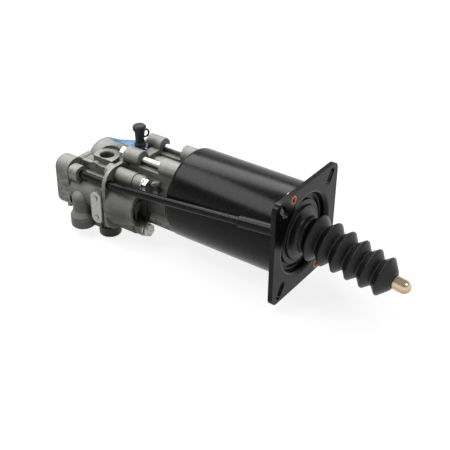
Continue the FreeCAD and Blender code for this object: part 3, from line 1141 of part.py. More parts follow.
node(joined("plug", [
    rod("plug_bar", "plug_radius", "plug_reach + plug_length", (*PLUG_AT, "-cover_low - plug_length"), "z"),
    rod("plug_head", "plug_head", "plug_length", (*PLUG_AT, "-cover_low - plug_length"), "z")]), "cover_plug")
node(without("exhaust_cap_shape", eased("exhaust_cap_round",
     rod("exhaust_cap_solid", "cap_outer", "cap_low - exhaust_low",
         ("-at_exhaust_x", "-exhaust_y", "-cap_low"), "z"),
     lambda edge: (edge.Curve.TypeId == "Part::GeomCircle"
                   and abs(edge.Curve.Center.z + mm("exhaust_low")) < 0.1),
     mm("cap_round")), [rod("exhaust_cap_bore", "exhaust_bore - cap_inset", "2 * cap_seat",
                            ("-at_exhaust_x", "-exhaust_y", "-exhaust_low - cap_seat"), "z")]), "exhaust_cap")
node(rod("cap_ring_solid", "cap_outer - cap_inset", "cap_ring",
         ("-at_exhaust_x", "-exhaust_y", "-cap_low - cap_ring"),
         "z"), "exhaust_cap_ring")
label_blank = block("label_blank", ("label_wide", "label_thick", "label_high"),
                    ("-at_label_x - label_wide / 2", "-label_pad - label_thick", "-label_z - label_high / 2"))
label_soft = eased("label_soft", label_blank, along("y"), mm("label_round"))
LABEL_RIVETS = [f"-label_z {way} (label_high / 2 - label_wide / 2)" for way in "-+"]
node(without("label", label_soft, [
    rod(f"label_hole_{n}", "label_hole", "4 * label_thick",
        ("-at_label_x", "-label_pad - 2 * label_thick", z), "y")
    for n, z in enumerate(LABEL_RIVETS)]), "label_plate")
node(joined("label_rivet_set", [
    rod(f"label_rivet_{n}", "label_rivet", "label_rivet_thick",
        ("-at_label_x", "-label_pad - label_thick - label_rivet_thick", z), "y")
    for n, z in enumerate(LABEL_RIVETS)]), "label_rivets")

# Checks and files

doc.recompute()
os.makedirs("parts", exist_ok=True)
bad = []
for obj in doc.Objects:
    if "Invalid" in obj.State or "Error" in obj.State:
        bad.append(f"{obj.Name}: {obj.State}")
for obj in NODES:
    if obj.Shape.isNull() or not obj.Shape.isValid() or obj.Shape.Volume <= 0:
        bad.append(f"{obj.Label}: shape not valid")
if bad:
    raise SystemExit("\n".join(bad))
for obj in NODES:
    obj.Shape.exportStep(f"parts/{obj.Label}.step")
    print(obj.Label, round(obj.Shape.Volume), len(obj.Shape.Solids))
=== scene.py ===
import json
import math

import bpy
import numpy as np
from mathutils import Matrix, Vector


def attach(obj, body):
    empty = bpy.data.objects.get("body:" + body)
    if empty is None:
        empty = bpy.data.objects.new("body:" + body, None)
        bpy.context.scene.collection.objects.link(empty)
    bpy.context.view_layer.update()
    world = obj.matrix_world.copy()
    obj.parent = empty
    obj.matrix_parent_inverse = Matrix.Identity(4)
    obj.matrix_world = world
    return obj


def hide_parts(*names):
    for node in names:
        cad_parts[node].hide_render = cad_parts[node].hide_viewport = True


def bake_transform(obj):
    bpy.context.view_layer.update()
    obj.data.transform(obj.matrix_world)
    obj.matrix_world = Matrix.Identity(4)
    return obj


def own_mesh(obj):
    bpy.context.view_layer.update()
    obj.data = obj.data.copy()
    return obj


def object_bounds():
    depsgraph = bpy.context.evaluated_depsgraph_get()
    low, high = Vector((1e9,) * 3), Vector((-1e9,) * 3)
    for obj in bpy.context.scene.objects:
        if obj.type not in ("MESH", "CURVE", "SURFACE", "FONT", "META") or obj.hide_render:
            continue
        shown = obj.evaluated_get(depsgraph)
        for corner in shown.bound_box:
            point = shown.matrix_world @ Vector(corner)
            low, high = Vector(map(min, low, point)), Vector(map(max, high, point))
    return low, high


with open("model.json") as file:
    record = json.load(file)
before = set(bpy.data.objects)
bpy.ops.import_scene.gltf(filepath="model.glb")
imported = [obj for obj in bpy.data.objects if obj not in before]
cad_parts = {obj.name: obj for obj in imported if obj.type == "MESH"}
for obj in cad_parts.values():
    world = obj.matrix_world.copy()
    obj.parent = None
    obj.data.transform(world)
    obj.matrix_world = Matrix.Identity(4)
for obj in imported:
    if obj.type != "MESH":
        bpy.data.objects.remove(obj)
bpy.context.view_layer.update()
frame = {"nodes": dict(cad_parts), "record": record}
nodes = frame["nodes"]
MM = 0.001


# Shader groups: effects that several finishes share


def group_sockets(name, inputs, outputs):
    """A new shader group with named inputs (name, kind, start value) and outputs (name, kind)."""
    group = bpy.data.node_groups.new(name, "ShaderNodeTree")
    for label, kind, value in inputs:
        socket = group.interface.new_socket(name=label, in_out="INPUT", socket_type=kind)
        socket.default_value = value
    for label, kind in outputs:
        group.interface.new_socket(name=label, in_out="OUTPUT", socket_type=kind)
    return group, group.nodes.new("NodeGroupInput"), group.nodes.new("NodeGroupOutput")


def link_pairs(tree, pairs):
    """Links each output socket to its input socket."""
    for out_socket, in_socket in pairs:
        tree.links.new(out_socket, in_socket)


def math_node(tree, operation, *sources, clamp=False):
    """One Math node whose inputs are sockets or plain numbers; returns its output."""
    made = tree.nodes.new("ShaderNodeMath")
    made.operation = operation
    made.use_clamp = clamp
    for spot, source in enumerate(sources):
        if isinstance(source, (int, float)):
            made.inputs[spot].default_value = source
        else:
            tree.links.new(source, made.inputs[spot])
    return made.outputs[0]


def noise_node(tree, vector, scale, detail=3.0, rough=0.55):
    """A noise over the place, from 0 to 1; the scale is a socket or a plain number."""
    made = tree.nodes.new("ShaderNodeTexNoise")
    made.inputs["Detail"].default_value = detail
    made.inputs["Roughness"].default_value = rough
    if isinstance(scale, (int, float)):
        made.inputs["Scale"].default_value = scale
    else:
        tree.links.new(scale, made.inputs["Scale"])
    tree.links.new(vector, made.inputs["Vector"])
    return made.outputs["Fac"]


def ramp_node(tree, value, low, high):
    """A value stretched so that low becomes 0 and high becomes 1."""
    made = tree.nodes.new("ShaderNodeMapRange")
    made.inputs["From Min"].default_value = low
    made.inputs["From Max"].default_value = high
    tree.links.new(value, made.inputs["Value"])
    return made.outputs["Result"]


COLOUR_A, COLOUR_B, MIXED_COLOUR = 6, 7, 2


def mix_colour(tree, mask, first, second):
    """The first colour where the mask is 0 and the second where it is 1."""
    made = tree.nodes.new("ShaderNodeMix")
    made.data_type = "RGBA"
    tree.links.new(mask, made.inputs["Factor"])
    for spot, source in ((COLOUR_A, first), (COLOUR_B, second)):
        if isinstance(source, tuple):
            made.inputs[spot].default_value = (*source, 1)
        else:
            tree.links.new(source, made.inputs[spot])
    return made.outputs[MIXED_COLOUR]


def build_cast_skin():
    """Die-cast skin: fine pits for the height and a slow cloud for colour and shine."""
    group, entry, leave = group_sockets(
        "Cast skin",
        [("Place", "NodeSocketVector", (0, 0, 0)), ("Pit size", "NodeSocketFloat", 900.0),
         ("Cloud size", "NodeSocketFloat", 40.0)],
        [("Pits", "NodeSocketFloat"), ("Cloud", "NodeSocketFloat")])
    pits = noise_node(group, entry.outputs["Place"], entry.outputs["Pit size"], 4.0, 0.6)
    cloud = noise_node(group, entry.outputs["Place"], entry.outputs["Cloud size"], 5.0, 0.6)
    link_pairs(group, [(ramp_node(group, pits, 0.3, 0.7), leave.inputs["Pits"]),
                       (ramp_node(group, cloud, 0.3, 0.7), leave.inputs["Cloud"])])
    return group


EDGE_PLAIN, EDGE_SHARP = 0.51, 0.6


def build_edge_wear():
    """Worn edges: how sharply the surface turns outwards, broken up by a noise."""
    group, entry, leave = group_sockets(
        "Edge wear",
        [("Place", "NodeSocketVector", (0, 0, 0)), ("Break size", "NodeSocketFloat", 300.0),
         ("Strength", "NodeSocketFloat", 1.0)],
        [("Worn", "NodeSocketFloat")])
    turn = group.nodes.new("ShaderNodeNewGeometry").outputs["Pointiness"]
    sharp = ramp_node(group, turn, EDGE_PLAIN, EDGE_SHARP)
    spots = noise_node(group, entry.outputs["Place"], entry.outputs["Break size"])
    broken = ramp_node(group, spots, 0.35, 0.6)
    worn = math_node(group, "MULTIPLY", math_node(group, "MULTIPLY", sharp, broken),
                     entry.outputs["Strength"], clamp=True)
    link_pairs(group, [(worn, leave.inputs["Worn"])])
    return group


def build_dust():
    """Dust that settles on faces turned up, thinned by a soft noise."""
    group, entry, leave = group_sockets(
        "Settled dust",
        [("Place", "NodeSocketVector", (0, 0, 0)), ("Patch size", "NodeSocketFloat", 60.0),
         ("Amount", "NodeSocketFloat", 0.1)],
        [("Dusty", "NodeSocketFloat")])
    split = group.nodes.new("ShaderNodeSeparateXYZ")
    group.links.new(group.nodes.new("ShaderNodeNewGeometry").outputs["Normal"], split.inputs[0])
    upward = ramp_node(group, split.outputs["Z"], -0.2, 1.0)
    spots = noise_node(group, entry.outputs["Place"], entry.outputs["Patch size"], 6.0)
    patch = ramp_node(group, spots, 0.3, 0.7)
    dusty = math_node(group, "MULTIPLY", math_node(group, "MULTIPLY", upward, patch),
                      entry.outputs["Amount"], clamp=True)
    link_pairs(group, [(dusty, leave.inputs["Dusty"])])
    return group


# Normal heights between faces turned up, with no painted shade, and faces turned sideways or down, with
# full painted shade
SHADE_TOP, SHADE_SIDE = 0.75, -0.1


def build_shade_and_grime():
    """Painted shade with patchy grime: darker on faces turned sideways or down, and in corners close to
    other faces, where shade falls; a noise breaks it into patches.
    """
    group, entry, leave = group_sockets(
        "Painted shade and grime",
        [("Place", "NodeSocketVector", (0, 0, 0)), ("Patch size", "NodeSocketFloat", 60.0),
         ("Corner reach", "NodeSocketFloat", 0.012)],
        [("Shade and grime", "NodeSocketFloat")])
    split = group.nodes.new("ShaderNodeSeparateXYZ")
    group.links.new(group.nodes.new("ShaderNodeNewGeometry").outputs["Normal"], split.inputs[0])
    # Painted shade: faces turned sideways or down, and corners that the ambient occlusion finds close to
    # other faces
    level = ramp_node(group, split.outputs["Z"], SHADE_TOP, SHADE_SIDE)
    corner = group.nodes.new("ShaderNodeAmbientOcclusion")
    corner.samples = 4
    group.links.new(entry.outputs["Corner reach"], corner.inputs["Distance"])
    closed = ramp_node(group, corner.outputs["AO"], 0.9, 0.3)
    patch = noise_node(group, entry.outputs["Place"], entry.outputs["Patch size"], 5.0)
    patchy = math_node(group, "MULTIPLY_ADD", patch, 0.5, -0.25)
    both = math_node(group, "MAXIMUM", level, closed)
    link_pairs(group, [(math_node(group, "ADD", both, patchy, clamp=True), leave.inputs["Shade and grime"])])
    return group


CAST_SKIN = build_cast_skin()
SHADE_AND_GRIME = build_shade_and_grime()
EDGE_WEAR = build_edge_wear()
DUST = build_dust()


class Finish:
    """One material with its Principled shader, Object coordinates and shared groups."""

    def __init__(self, name, colour, roughness, metallic=0.0, **constants):
        self.made = bpy.data.materials.new(name)
        self.made.use_nodes = True
        self.tree = self.made.node_tree
        self.shader = self.tree.nodes["Principled BSDF"]
        self.shader.inputs["Base Color"].default_value = (*colour, 1)
        self.shader.inputs["Roughness"].default_value = roughness
        self.shader.inputs["Metallic"].default_value = metallic
        for label, value in constants.items():
            self.shader.inputs[label.replace("_", " ")].default_value = value
        self.colour = colour
        self.roughness = roughness
        self.place = self.tree.nodes.new("ShaderNodeTexCoord").outputs["Object"]

    def use(self, group, **values):
        """Places a shared group with its own values; an underscore stands for a space."""
        made = self.tree.nodes.new("ShaderNodeGroup")
        made.node_tree = group
        self.tree.links.new(self.place, made.inputs["Place"])
        for label, value in values.items():
            made.inputs[label.replace("_", " ")].default_value = value
        return made

    def tint(self, mask, light, dark=None):
        """Base colour from dark to light by a mask."""
        mixed = mix_colour(self.tree, mask, dark or self.colour, light)
        self.tree.links.new(mixed, self.shader.inputs["Base Color"])

    def shine(self, mask, low, high):
        """Roughness from low to high by a mask."""
        spread = math_node(self.tree, "MULTIPLY_ADD", mask, high - low, low)
        self.tree.links.new(spread, self.shader.inputs["Roughness"])

    def bump(self, height, strength, distance):
        """Relief from a height that only tilts the normal."""
        made = self.tree.nodes.new("ShaderNodeBump")
        made.inputs["Strength"].default_value = strength
        made.inputs["Distance"].default_value = distance
        self.tree.links.new(height, made.inputs["Height"])
        self.tree.links.new(made.outputs[0], self.shader.inputs["Normal"])


def make_black_paint():
    """Smooth black paint with a slow cloud in its shine, faint dust and lightly worn edges."""
    paint = Finish("black stoving paint", (0.003, 0.003, 0.0031), 0.2, Specular_IOR_Level=0.14)
    skin = paint.use(CAST_SKIN, Pit_size=90.0, Cloud_size=22.0)
    dust = paint.use(DUST, Patch_size=45.0, Amount=0.1)
    worn = paint.use(EDGE_WEAR, Break_size=260.0, Strength=0.12)
    dusted = mix_colour(paint.tree, dust.outputs[0], paint.colour, (0.02, 0.02, 0.021))
    paint.tint(worn.outputs[0], (0.09, 0.09, 0.088), dusted)
    paint.shine(skin.outputs["Cloud"], 0.17, 0.24)
    paint.bump(skin.outputs["Pits"], 0.02, 0.0002)
    return paint.made


def make_cast(name, dark, light, rough_low, rough_high):
    """Dull pitted casting: light on top, and dark with painted shade and patchy grime at the sides and in
    corners.
    """
    cast = Finish(name, light, rough_low, 0.3, Specular_IOR_Level=0.25)
    skin = cast.use(CAST_SKIN, Pit_size=1100.0, Cloud_size=45.0)
    worn = cast.use(EDGE_WEAR, Break_size=200.0, Strength=0.5)
    # Painted shade: the dark colour on sides, undersides and corners, the light colour on faces turned up
    shade_and_grime = cast.use(SHADE_AND_GRIME, Patch_size=55.0, Corner_reach=0.012)
    shade_and_grime_colour = mix_colour(cast.tree, shade_and_grime.outputs[0], light, dark)
    cast.tint(worn.outputs[0], (0.5, 0.5, 0.47), shade_and_grime_colour)
    cast.shine(skin.outputs["Cloud"], rough_low, rough_high)
    cast.bump(skin.outputs["Pits"], 0.4, 0.0003)
    return cast.made


def make_metal(name, dark, light, rough_low, rough_high, grain=1500.0, metallic=0.9, pits=0.06):
    """Plated or machined metal with a fine grain, worn edges, and painted shade with a little grime at the
    sides, undersides and corners.
    """
    metal = Finish(name, light, rough_low, metallic)
    skin = metal.use(CAST_SKIN, Pit_size=grain, Cloud_size=150.0)
    worn = metal.use(EDGE_WEAR, Break_size=500.0, Strength=0.5)
    # Painted shade: the dark colour on sides, undersides and corners, the light colour on faces turned up
    shade_and_grime = metal.use(SHADE_AND_GRIME, Patch_size=120.0, Corner_reach=0.004)
    shade_and_grime_colour = mix_colour(metal.tree, shade_and_grime.outputs[0], light, dark)
    metal.tint(worn.outputs[0], tuple(min(1.0, c * 1.25) for c in light), shade_and_grime_colour)
    metal.shine(skin.outputs["Cloud"], rough_low, rough_high)
    metal.bump(skin.outputs["Pits"], pits, 0.0001)
    return metal.made


def make_soft(name, colour, light, roughness, dust=0.1, grain=1400.0, **constants):
    """Rubber and plastics: a fine moulded grain, a faint cloud and some dust."""
    soft = Finish(name, colour, roughness, **constants)
    skin = soft.use(CAST_SKIN, Pit_size=grain, Cloud_size=80.0)
    settled = soft.use(DUST, Patch_size=90.0, Amount=dust)
    clouded = mix_colour(soft.tree, skin.outputs["Cloud"], colour, light)
    soft.tint(settled.outputs[0], tuple(min(1.0, c + 0.06) for c in light), clouded)
    soft.shine(skin.outputs["Cloud"], roughness - 0.06, roughness + 0.08)
    soft.bump(skin.outputs["Pits"], 0.15, 0.0002)
    return soft.made


# For the castings and metals the first colour is painted shade for sides, undersides and corners, and the
# second the colour of faces turned up
FINISHES = {
    "black_paint": make_black_paint(),
    "cast_aluminium": make_cast("die cast aluminium", (0.13, 0.13, 0.115), (0.37, 0.368, 0.343),
                                0.45, 0.62),
    "zinc_steel": make_metal("bright zinc plate", (0.14, 0.145, 0.13), (0.68, 0.69, 0.66), 0.28, 0.4),
    "hard_steel": make_metal("ground steel", (0.42, 0.42, 0.43), (0.5, 0.5, 0.51), 0.18, 0.28, 2500.0),
    "spring_steel": make_metal("phosphated spring steel", (0.12, 0.12, 0.13), (0.2, 0.2, 0.2), 0.4, 0.55),
    "yellow_zinc": make_metal("yellow zinc plate", (0.46, 0.34, 0.2), (0.82, 0.68, 0.5), 0.12, 0.2,
                              metallic=1.0, pits=0.01),
    "copper": make_metal("copper tube", (0.3, 0.09, 0.035), (0.55, 0.2, 0.08), 0.3, 0.4),
    "bearing_bronze": make_metal("bearing bronze", (0.5, 0.34, 0.13), (0.6, 0.45, 0.2), 0.28, 0.42),
    "bellows_rubber": make_soft("bellows rubber", (0.004, 0.004, 0.0043), (0.009, 0.009, 0.0092),
                                0.38, 0.14, Specular_IOR_Level=0.35),
    "seal_rubber": make_soft("seal rubber", (0.012, 0.012, 0.012), (0.02, 0.02, 0.02), 0.55, 0.05),
    "cap_rubber": make_soft("cap rubber", (0.01, 0.01, 0.011), (0.018, 0.018, 0.019), 0.45, 0.3,
                            Specular_IOR_Level=0.35),
    "gasket_fibre": make_soft("gasket fibre", (0.06, 0.065, 0.06), (0.1, 0.11, 0.1), 0.7, 0.05, 600.0),
    "bearing_plastic": make_soft("bearing plastic", (0.3, 0.25, 0.18), (0.36, 0.31, 0.23), 0.5, 0.0),
    "black_plastic": make_soft("black plastic", (0.03, 0.03, 0.027), (0.045, 0.045, 0.04), 0.42, 0.1,
                               Specular_IOR_Level=0.3),
    "yellow_plastic": make_soft("yellow plastic", (0.85, 0.42, 0.01), (0.95, 0.55, 0.02), 0.4, 0.02),
    "blue_film": make_soft("blue film", (0.02, 0.17, 0.42), (0.3, 0.5, 0.68), 0.25, 0.1, 400.0),
    "label_aluminium": make_metal("bare label plate", (0.5, 0.5, 0.48), (0.72, 0.72, 0.7), 0.42, 0.55,
                                  metallic=0.3),
}
slot_of = {part["node"]: part["material_slot"] for part in frame["record"]["subparts"]}
for name, piece in nodes.items():
    piece.data.materials.clear()
    piece.data.materials.append(FINISHES[slot_of[name]])


# Mesh helpers for the new pieces


def linked(name, data):
    """A new object for a mesh, a lamp or a camera, put into the scene."""
    made = bpy.data.objects.new(name, data)
    bpy.context.scene.collection.objects.link(made)
    return made


def grid_corners(rows, columns):
    """Four point numbers for each face of a grid whose columns close round."""
    row, column = np.meshgrid(np.arange(rows - 1), np.arange(columns), indexing="ij")
    after = (column + 1) % columns
    return np.stack([row * columns + column, row * columns + after, (row + 1) * columns + after,
                     (row + 1) * columns + column], -1).reshape(-1, 4)


def grid_piece(name, points, finish, body):
    """A surface piece from an array of points (rows, columns, 3) in metres, rows running along it."""
    rows, columns = points.shape[:2]
    mesh = bpy.data.meshes.new(name)
    corners = grid_corners(rows, columns)
    mesh.vertices.add(rows * columns)
    mesh.vertices.foreach_set("co", points.reshape(-1).astype(np.float32))
    mesh.loops.add(corners.size)
    mesh.loops.foreach_set("vertex_index", corners.reshape(-1).astype(np.int32))
    mesh.polygons.add(len(corners))
    mesh.polygons.foreach_set("loop_start", np.arange(0, corners.size, 4, dtype=np.int32))
    mesh.update(calc_edges=True)
    mesh.polygons.foreach_set("use_smooth", np.ones(len(corners), bool))
    mesh.materials.append(finish)
    piece = linked(name, mesh)
    if body:
        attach(piece, body)
    return piece


# Bellows: a closed profile of radius over distance, carried along the drooping middle line

DROOP = math.radians(8.4)
PIVOT_X = -10.25
NOSE_X = 99.0
BORE = 7.8
NOSE_Z = -(NOSE_X - PIVOT_X) * math.tan(DROOP)
SLOPE = -math.tan(DROOP)
RING_SIDES = 320


def middle_line(x):
    """Height and slope of the bellows' middle line: flat up to the flange, then a cubic that ends on
    the rod's own straight line at the nose, and that line beyond it."""
    t = np.clip(x / NOSE_X, 0, 1)
    height = NOSE_Z * (3 * t**2 - 2 * t**3) + SLOPE * NOSE_X * (t**3 - t**2)
    steep = NOSE_Z * (6 * t - 6 * t**2) / NOSE_X + SLOPE * (3 * t**2 - 2 * t)
    past = x > NOSE_X
    return np.where(past, NOSE_Z + (x - NOSE_X) * SLOPE, height), np.where(past, SLOPE, steep)


SEAM_TURN = math.radians(142)
SEAM_HIGH = 0.45
SEAM_HALF = math.radians(1.6)


def around_middle_line(x, radius):
    """Rings of the given radius square to the middle line: centre (x, 0, height), turned by the slope.
    Where the two mould halves met, but not at the bore, the radius grows by
    SEAM_HIGH * exp(-(turn from the seam / SEAM_HALF)^2)."""
    height, steep = middle_line(x)
    turn = np.linspace(0, 2 * np.pi, RING_SIDES, endpoint=False)
    off_seam = (turn - SEAM_TURN + np.pi / 2) % np.pi - np.pi / 2
    near_seam = SEAM_HIGH * np.exp(-((off_seam / SEAM_HALF) ** 2))
    radius = radius[:, None] + np.where(radius > BORE + 1, 1.0, 0.0)[:, None] * near_seam[None, :]
    tilt = np.arctan(steep)
    upward = np.stack([-np.sin(tilt), np.zeros_like(tilt), np.cos(tilt)], -1)
    centre = np.stack([x, np.zeros_like(x), height], -1)
    spread = (np.cos(turn)[None, :, None] * np.array([0, 1.0, 0])
              + np.sin(turn)[None, :, None] * upward[:, None, :])
    return (centre[:, None, :] + radius[:, :, None] * spread) * MM


CORNER_STEPS = 6


def rounded_path(points, radii):
    """A line of straight runs whose corners are eased by quadratic curves of the given reach."""
    points = np.asarray(points, float)
    out = [points[:1]]
    for i in range(1, len(points) - 1):
        before, here, after = points[i - 1], points[i], points[i + 1]
        reach = min(radii[i], np.linalg.norm(here - before) * 0.49, np.linalg.norm(after - here) * 0.49)
        start = here + (before - here) / np.linalg.norm(before - here) * reach
        end = here + (after - here) / np.linalg.norm(after - here) * reach
        t = np.linspace(0, 1, CORNER_STEPS)[:, None]
        out.append((1 - t) ** 2 * start + 2 * t * (1 - t) * here + t**2 * end)
    out.append(points[-1:])
    return np.concatenate(out)


FOLDS = 6
CREST_START, FOLD_PITCH = 13.5, 15.9
CREST_FIRST, CREST_LAST = 25.4, 21.2
VALLEY_FIRST, VALLEY_LAST = 17.4, 14.6
CREST_HALF, CREST_EASE = 0.9, 0.5
VALLEY_HALF, VALLEY_EASE = 0.6, 1.1


def fold_profile():
    """Outer profile from the neck to the nose as (x, radius) corners with the reach of each rounding."""
    corners = []
    for k in range(FOLDS):
        share = k / (FOLDS - 1)
        crest = CREST_FIRST + (CREST_LAST - CREST_FIRST) * share
        valley = VALLEY_FIRST + (VALLEY_LAST - VALLEY_FIRST) * share
        x = CREST_START + FOLD_PITCH * k
        corners.append((x - CREST_HALF, crest, CREST_EASE))
        corners.append((x + CREST_HALF, crest, CREST_EASE))
        if k < FOLDS - 1:
            corners.append((x + FOLD_PITCH / 2 - VALLEY_HALF, valley, VALLEY_EASE))
            corners.append((x + FOLD_PITCH / 2 + VALLEY_HALF, valley, VALLEY_EASE))
    return corners


SPLIT_X = 5.6
NOSE_END_X = NOSE_X + 4.5
WALL = 2.2
base = [(-9.0, 8.5, 0), (-9.0, 36.0, 0.6), (-6.0, 36.0, 0.8), (-6.0, 30.4, 0.8), (-3.0, 30.0, 1.2),
        (-2.4, 24.0, 2.5), (0.5, 19.4, 2.5), (SPLIT_X, 19.0, 0)]
folds = [(SPLIT_X, 19.0, 0), (7.4, 18.8, 1.5)] + fold_profile() + [
    (NOSE_X + 3.9, 10.6, 0.8), (NOSE_END_X, 9.2, 0.4), (NOSE_END_X, BORE, 0)]


def wall_inside(points, wall):
    """The inner side of the wall: the outer profile shrunk towards the middle line, end to end reversed."""
    inner = points[::-1].copy()
    inner[:, 1] = np.maximum(inner[:, 1] - wall, BORE)
    return inner


def profile_points(corners):
    """The eased line through corners given as (x, radius, reach of the rounding)."""
    return rounded_path([c[:2] for c in corners], [c[2] for c in corners])


foot = profile_points(base)
foot_closed = np.concatenate([foot, [[SPLIT_X, 16.6], [0.5, 16.8], [-2.0, 20.0], [-3.0, 26.0], [-6.6, 27.0],
                                     [-6.6, 8.5], [-9.0, 8.5]]])
bellows_foot = grid_piece("bellows_foot", around_middle_line(foot_closed[:, 0], foot_closed[:, 1]),
                          FINISHES["bellows_rubber"], None)
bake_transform(bellows_foot)

outside = profile_points(folds)
inside = wall_inside(outside, WALL)
inside = inside[inside[:, 0] < NOSE_X - 1]
loop = np.concatenate([outside, [[NOSE_X + 1, BORE]], inside, outside[:1]])
bellows_folds = grid_piece("bellows_folds", around_middle_line(loop[:, 0], loop[:, 1]),
                           FINISHES["bellows_rubber"], "bellows_swing")
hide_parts("bellows")
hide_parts("bellows")
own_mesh(bellows_folds)


# Springs: round-wire coils in place of the solid ones

COIL_STEPS = 40
WIRE_SIDES = 10


def spring_piece(name, start, end, radius, wire, pitch, centre):
    """A coil along X in place of the solid one. At turn a of the coil and b around the wire the point is
    (start + pitch * a / 2pi + wire * sin(b), centre + (radius + wire * cos(b)) * (cos(a), sin(a)))."""
    turns = (end - start) / pitch
    a = np.linspace(0, 2 * np.pi * turns, int(turns * COIL_STEPS) + 1)[:, None]
    b = np.linspace(0, 2 * np.pi, WIRE_SIDES, endpoint=False)[None, :]
    reach = radius + wire * np.cos(b)
    points = np.stack([start + pitch * a / (2 * np.pi) + wire * np.sin(b), centre[0] + reach * np.cos(a),
                       centre[1] + reach * np.sin(a)], -1)
    rows, columns = points.shape[:2]
    faces = grid_corners(rows, columns).tolist()
    faces += [tuple(range(columns))[::-1], tuple(range((rows - 1) * columns, rows * columns))]
    mesh = bpy.data.meshes.new(name + "_coil")
    mesh.from_pydata((points.reshape(-1, 3) * MM).tolist(), [], faces)
    mesh.polygons.foreach_set("use_smooth", np.ones(len(faces), bool))
    mesh.materials.append(FINISHES["spring_steel"])
    coil = linked(name + "_coil", mesh)
    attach(coil, "servo_body")
    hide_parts(name)
    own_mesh(coil)


VALVE_AXIS = (-45.0, -14.0)
spring_piece("preload_spring", -128.85, -39.65, 33.5, 1.6, 17.2, (0, 0))
spring_piece("relay_spring", -231.35, -215.05, 7.5, 0.6, 2.6, VALVE_AXIS)
spring_piece("poppet_spring", -249.35, -239.7, 6.0, 0.6, 2.7, VALVE_AXIS)


# Small pieces that only show


def prism_piece(name, outline, start, end, finish, body, upright=False):
    """A flat piece: the outline of (x, z) corners run from y = start to y = end, or when upright the
    outline of (x, y) corners run from z = start to z = end."""
    count = len(outline)
    near = [(x * MM, w * MM, start * MM) if upright else (x * MM, start * MM, w * MM) for x, w in outline]
    far = [(x * MM, w * MM, end * MM) if upright else (x * MM, end * MM, w * MM) for x, w in outline]
    sides = [(i, (i + 1) % count, (i + 1) % count + count, i + count) for i in range(count)]
    mesh = bpy.data.meshes.new(name)
    mesh.from_pydata(near + far, [], [tuple(range(count))[::-1], tuple(range(count, 2 * count))] + sides)
    mesh.materials.append(finish)
    piece = linked(name, mesh)
    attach(piece, body)


def thread_points(radius, depth, pitch, length, sides=48, steps=12):
    """A cut thread as a wall around +Z, from the top down: at turn a and drop d the radius is
    radius - depth * |2 * frac(d / pitch - a / 2pi) - 1|, a straight-sided groove that winds."""
    drop = np.linspace(0, length, int(length / pitch * steps) + 1)
    turn = np.linspace(0, 2 * np.pi, sides, endpoint=False)
    phase = (drop[:, None] / pitch - turn[None, :] / (2 * np.pi)) % 1.0
    reach = radius - depth * np.abs(2 * phase - 1)
    height = np.broadcast_to(-drop[:, None], reach.shape)
    return np.stack([reach * np.cos(turn), reach * np.sin(turn), height], -1) * MM


def ring_points(across, high, sides=32, bend=8):
    """Half a bead around the Y axis, open where it lies on the plate: at b from 0 to pi the radius is
    across + high * cos(b) and the height high * sin(b)."""
    turn = np.linspace(0, 2 * np.pi, sides, endpoint=False)
    side = np.linspace(0, np.pi, bend)
    reach = across + high * np.cos(side)[:, None] * np.ones_like(turn)[None, :]
    lift = high * np.sin(side)[:, None] * np.ones_like(turn)[None, :]
    return np.stack([reach * np.cos(turn), -lift, reach * np.sin(turn)], -1) * MM


PORT_X, PORT_Y, PORT_TOP = -252.6, -21.0, 21.6
THREAD_RADIUS, THREAD_DEPTH, THREAD_PITCH, THREAD_LENGTH = 8.15, 0.7, 1.5, 11.7
THREAD_SUNK = 1.25
SHADED_BORE = make_soft("shaded bore", (0.022, 0.022, 0.019), (0.04, 0.04, 0.036), 0.5, 0.0)
thread = thread_points(THREAD_RADIUS, THREAD_DEPTH, THREAD_PITCH, THREAD_LENGTH)
grid_piece("fluid_port_thread", thread + np.array([PORT_X, PORT_Y, PORT_TOP - THREAD_SUNK]) * MM,
           SHADED_BORE, "servo_body")
prism_piece("fluid_port_corner", [(-241.5, -31), (-236.9, -31), (-236.9, -21), (-238.5, -25.5)],
            8, PORT_TOP - 0.05, FINISHES["cast_aluminium"], "servo_body", upright=True)

LABEL_X, LABEL_FACE, LABEL_Z = -232.2, -66.0, -20.2
RIVET_RISE = 12.25
DARK_RING_RADIUS, DARK_RING_HIGH, DARK_RING_LIFT = 2.6, 0.35, 0.05
# A black ring round each label rivet, which makes the rivets look darker
for place, rise in (("upper", RIVET_RISE), ("lower", -RIVET_RISE)):
    dark_ring_middle = np.array([LABEL_X, LABEL_FACE - DARK_RING_LIFT, LABEL_Z + rise]) * MM
    grid_piece(f"label_rivet_dark_ring_{place}", ring_points(DARK_RING_RADIUS, DARK_RING_HIGH) + dark_ring_middle,
               FINISHES["black_plastic"], "servo_body")

prism_piece("supply_lower_web", [(-257, -30), (-257, -51), (-250, -54.5), (-236, -53), (-236, -30)],
            -55.5, -46, FINISHES["cast_aluminium"], "servo_body")
prism_piece("head_lower_rib", [(-172, -26), (-199.5, -22), (-199.5, -44), (-190, -44), (-176, -39)],
            -28.4, -25.4, FINISHES["cast_aluminium"], "servo_body")


# Camera, light and floor

PHOTO_WIDTH = 450
FOCAL_LENGTH = 908.57
SENSOR_WIDTH = 36
CAMERA_PLACE = (0.386104, -0.6935155, 0.5100186)
camera_data = bpy.data.cameras.new("camera")
camera_data.sensor_width = SENSOR_WIDTH
camera_data.lens = FOCAL_LENGTH / PHOTO_WIDTH * SENSOR_WIDTH
camera_data.clip_start, camera_data.clip_end = 0.05, 20
camera = linked("camera", camera_data)
RIGHT = Vector((0.81424359, 0.58044187, 0.00972682))
UP = Vector((-0.3176482, 0.43144719, 0.84436541))
BACK = Vector((0.48590843, -0.69060883, 0.53567942))
camera.matrix_world = Matrix.Translation(CAMERA_PLACE) @ Matrix(
    (RIGHT, UP, BACK)).transposed().to_4x4()
bpy.context.scene.camera = camera

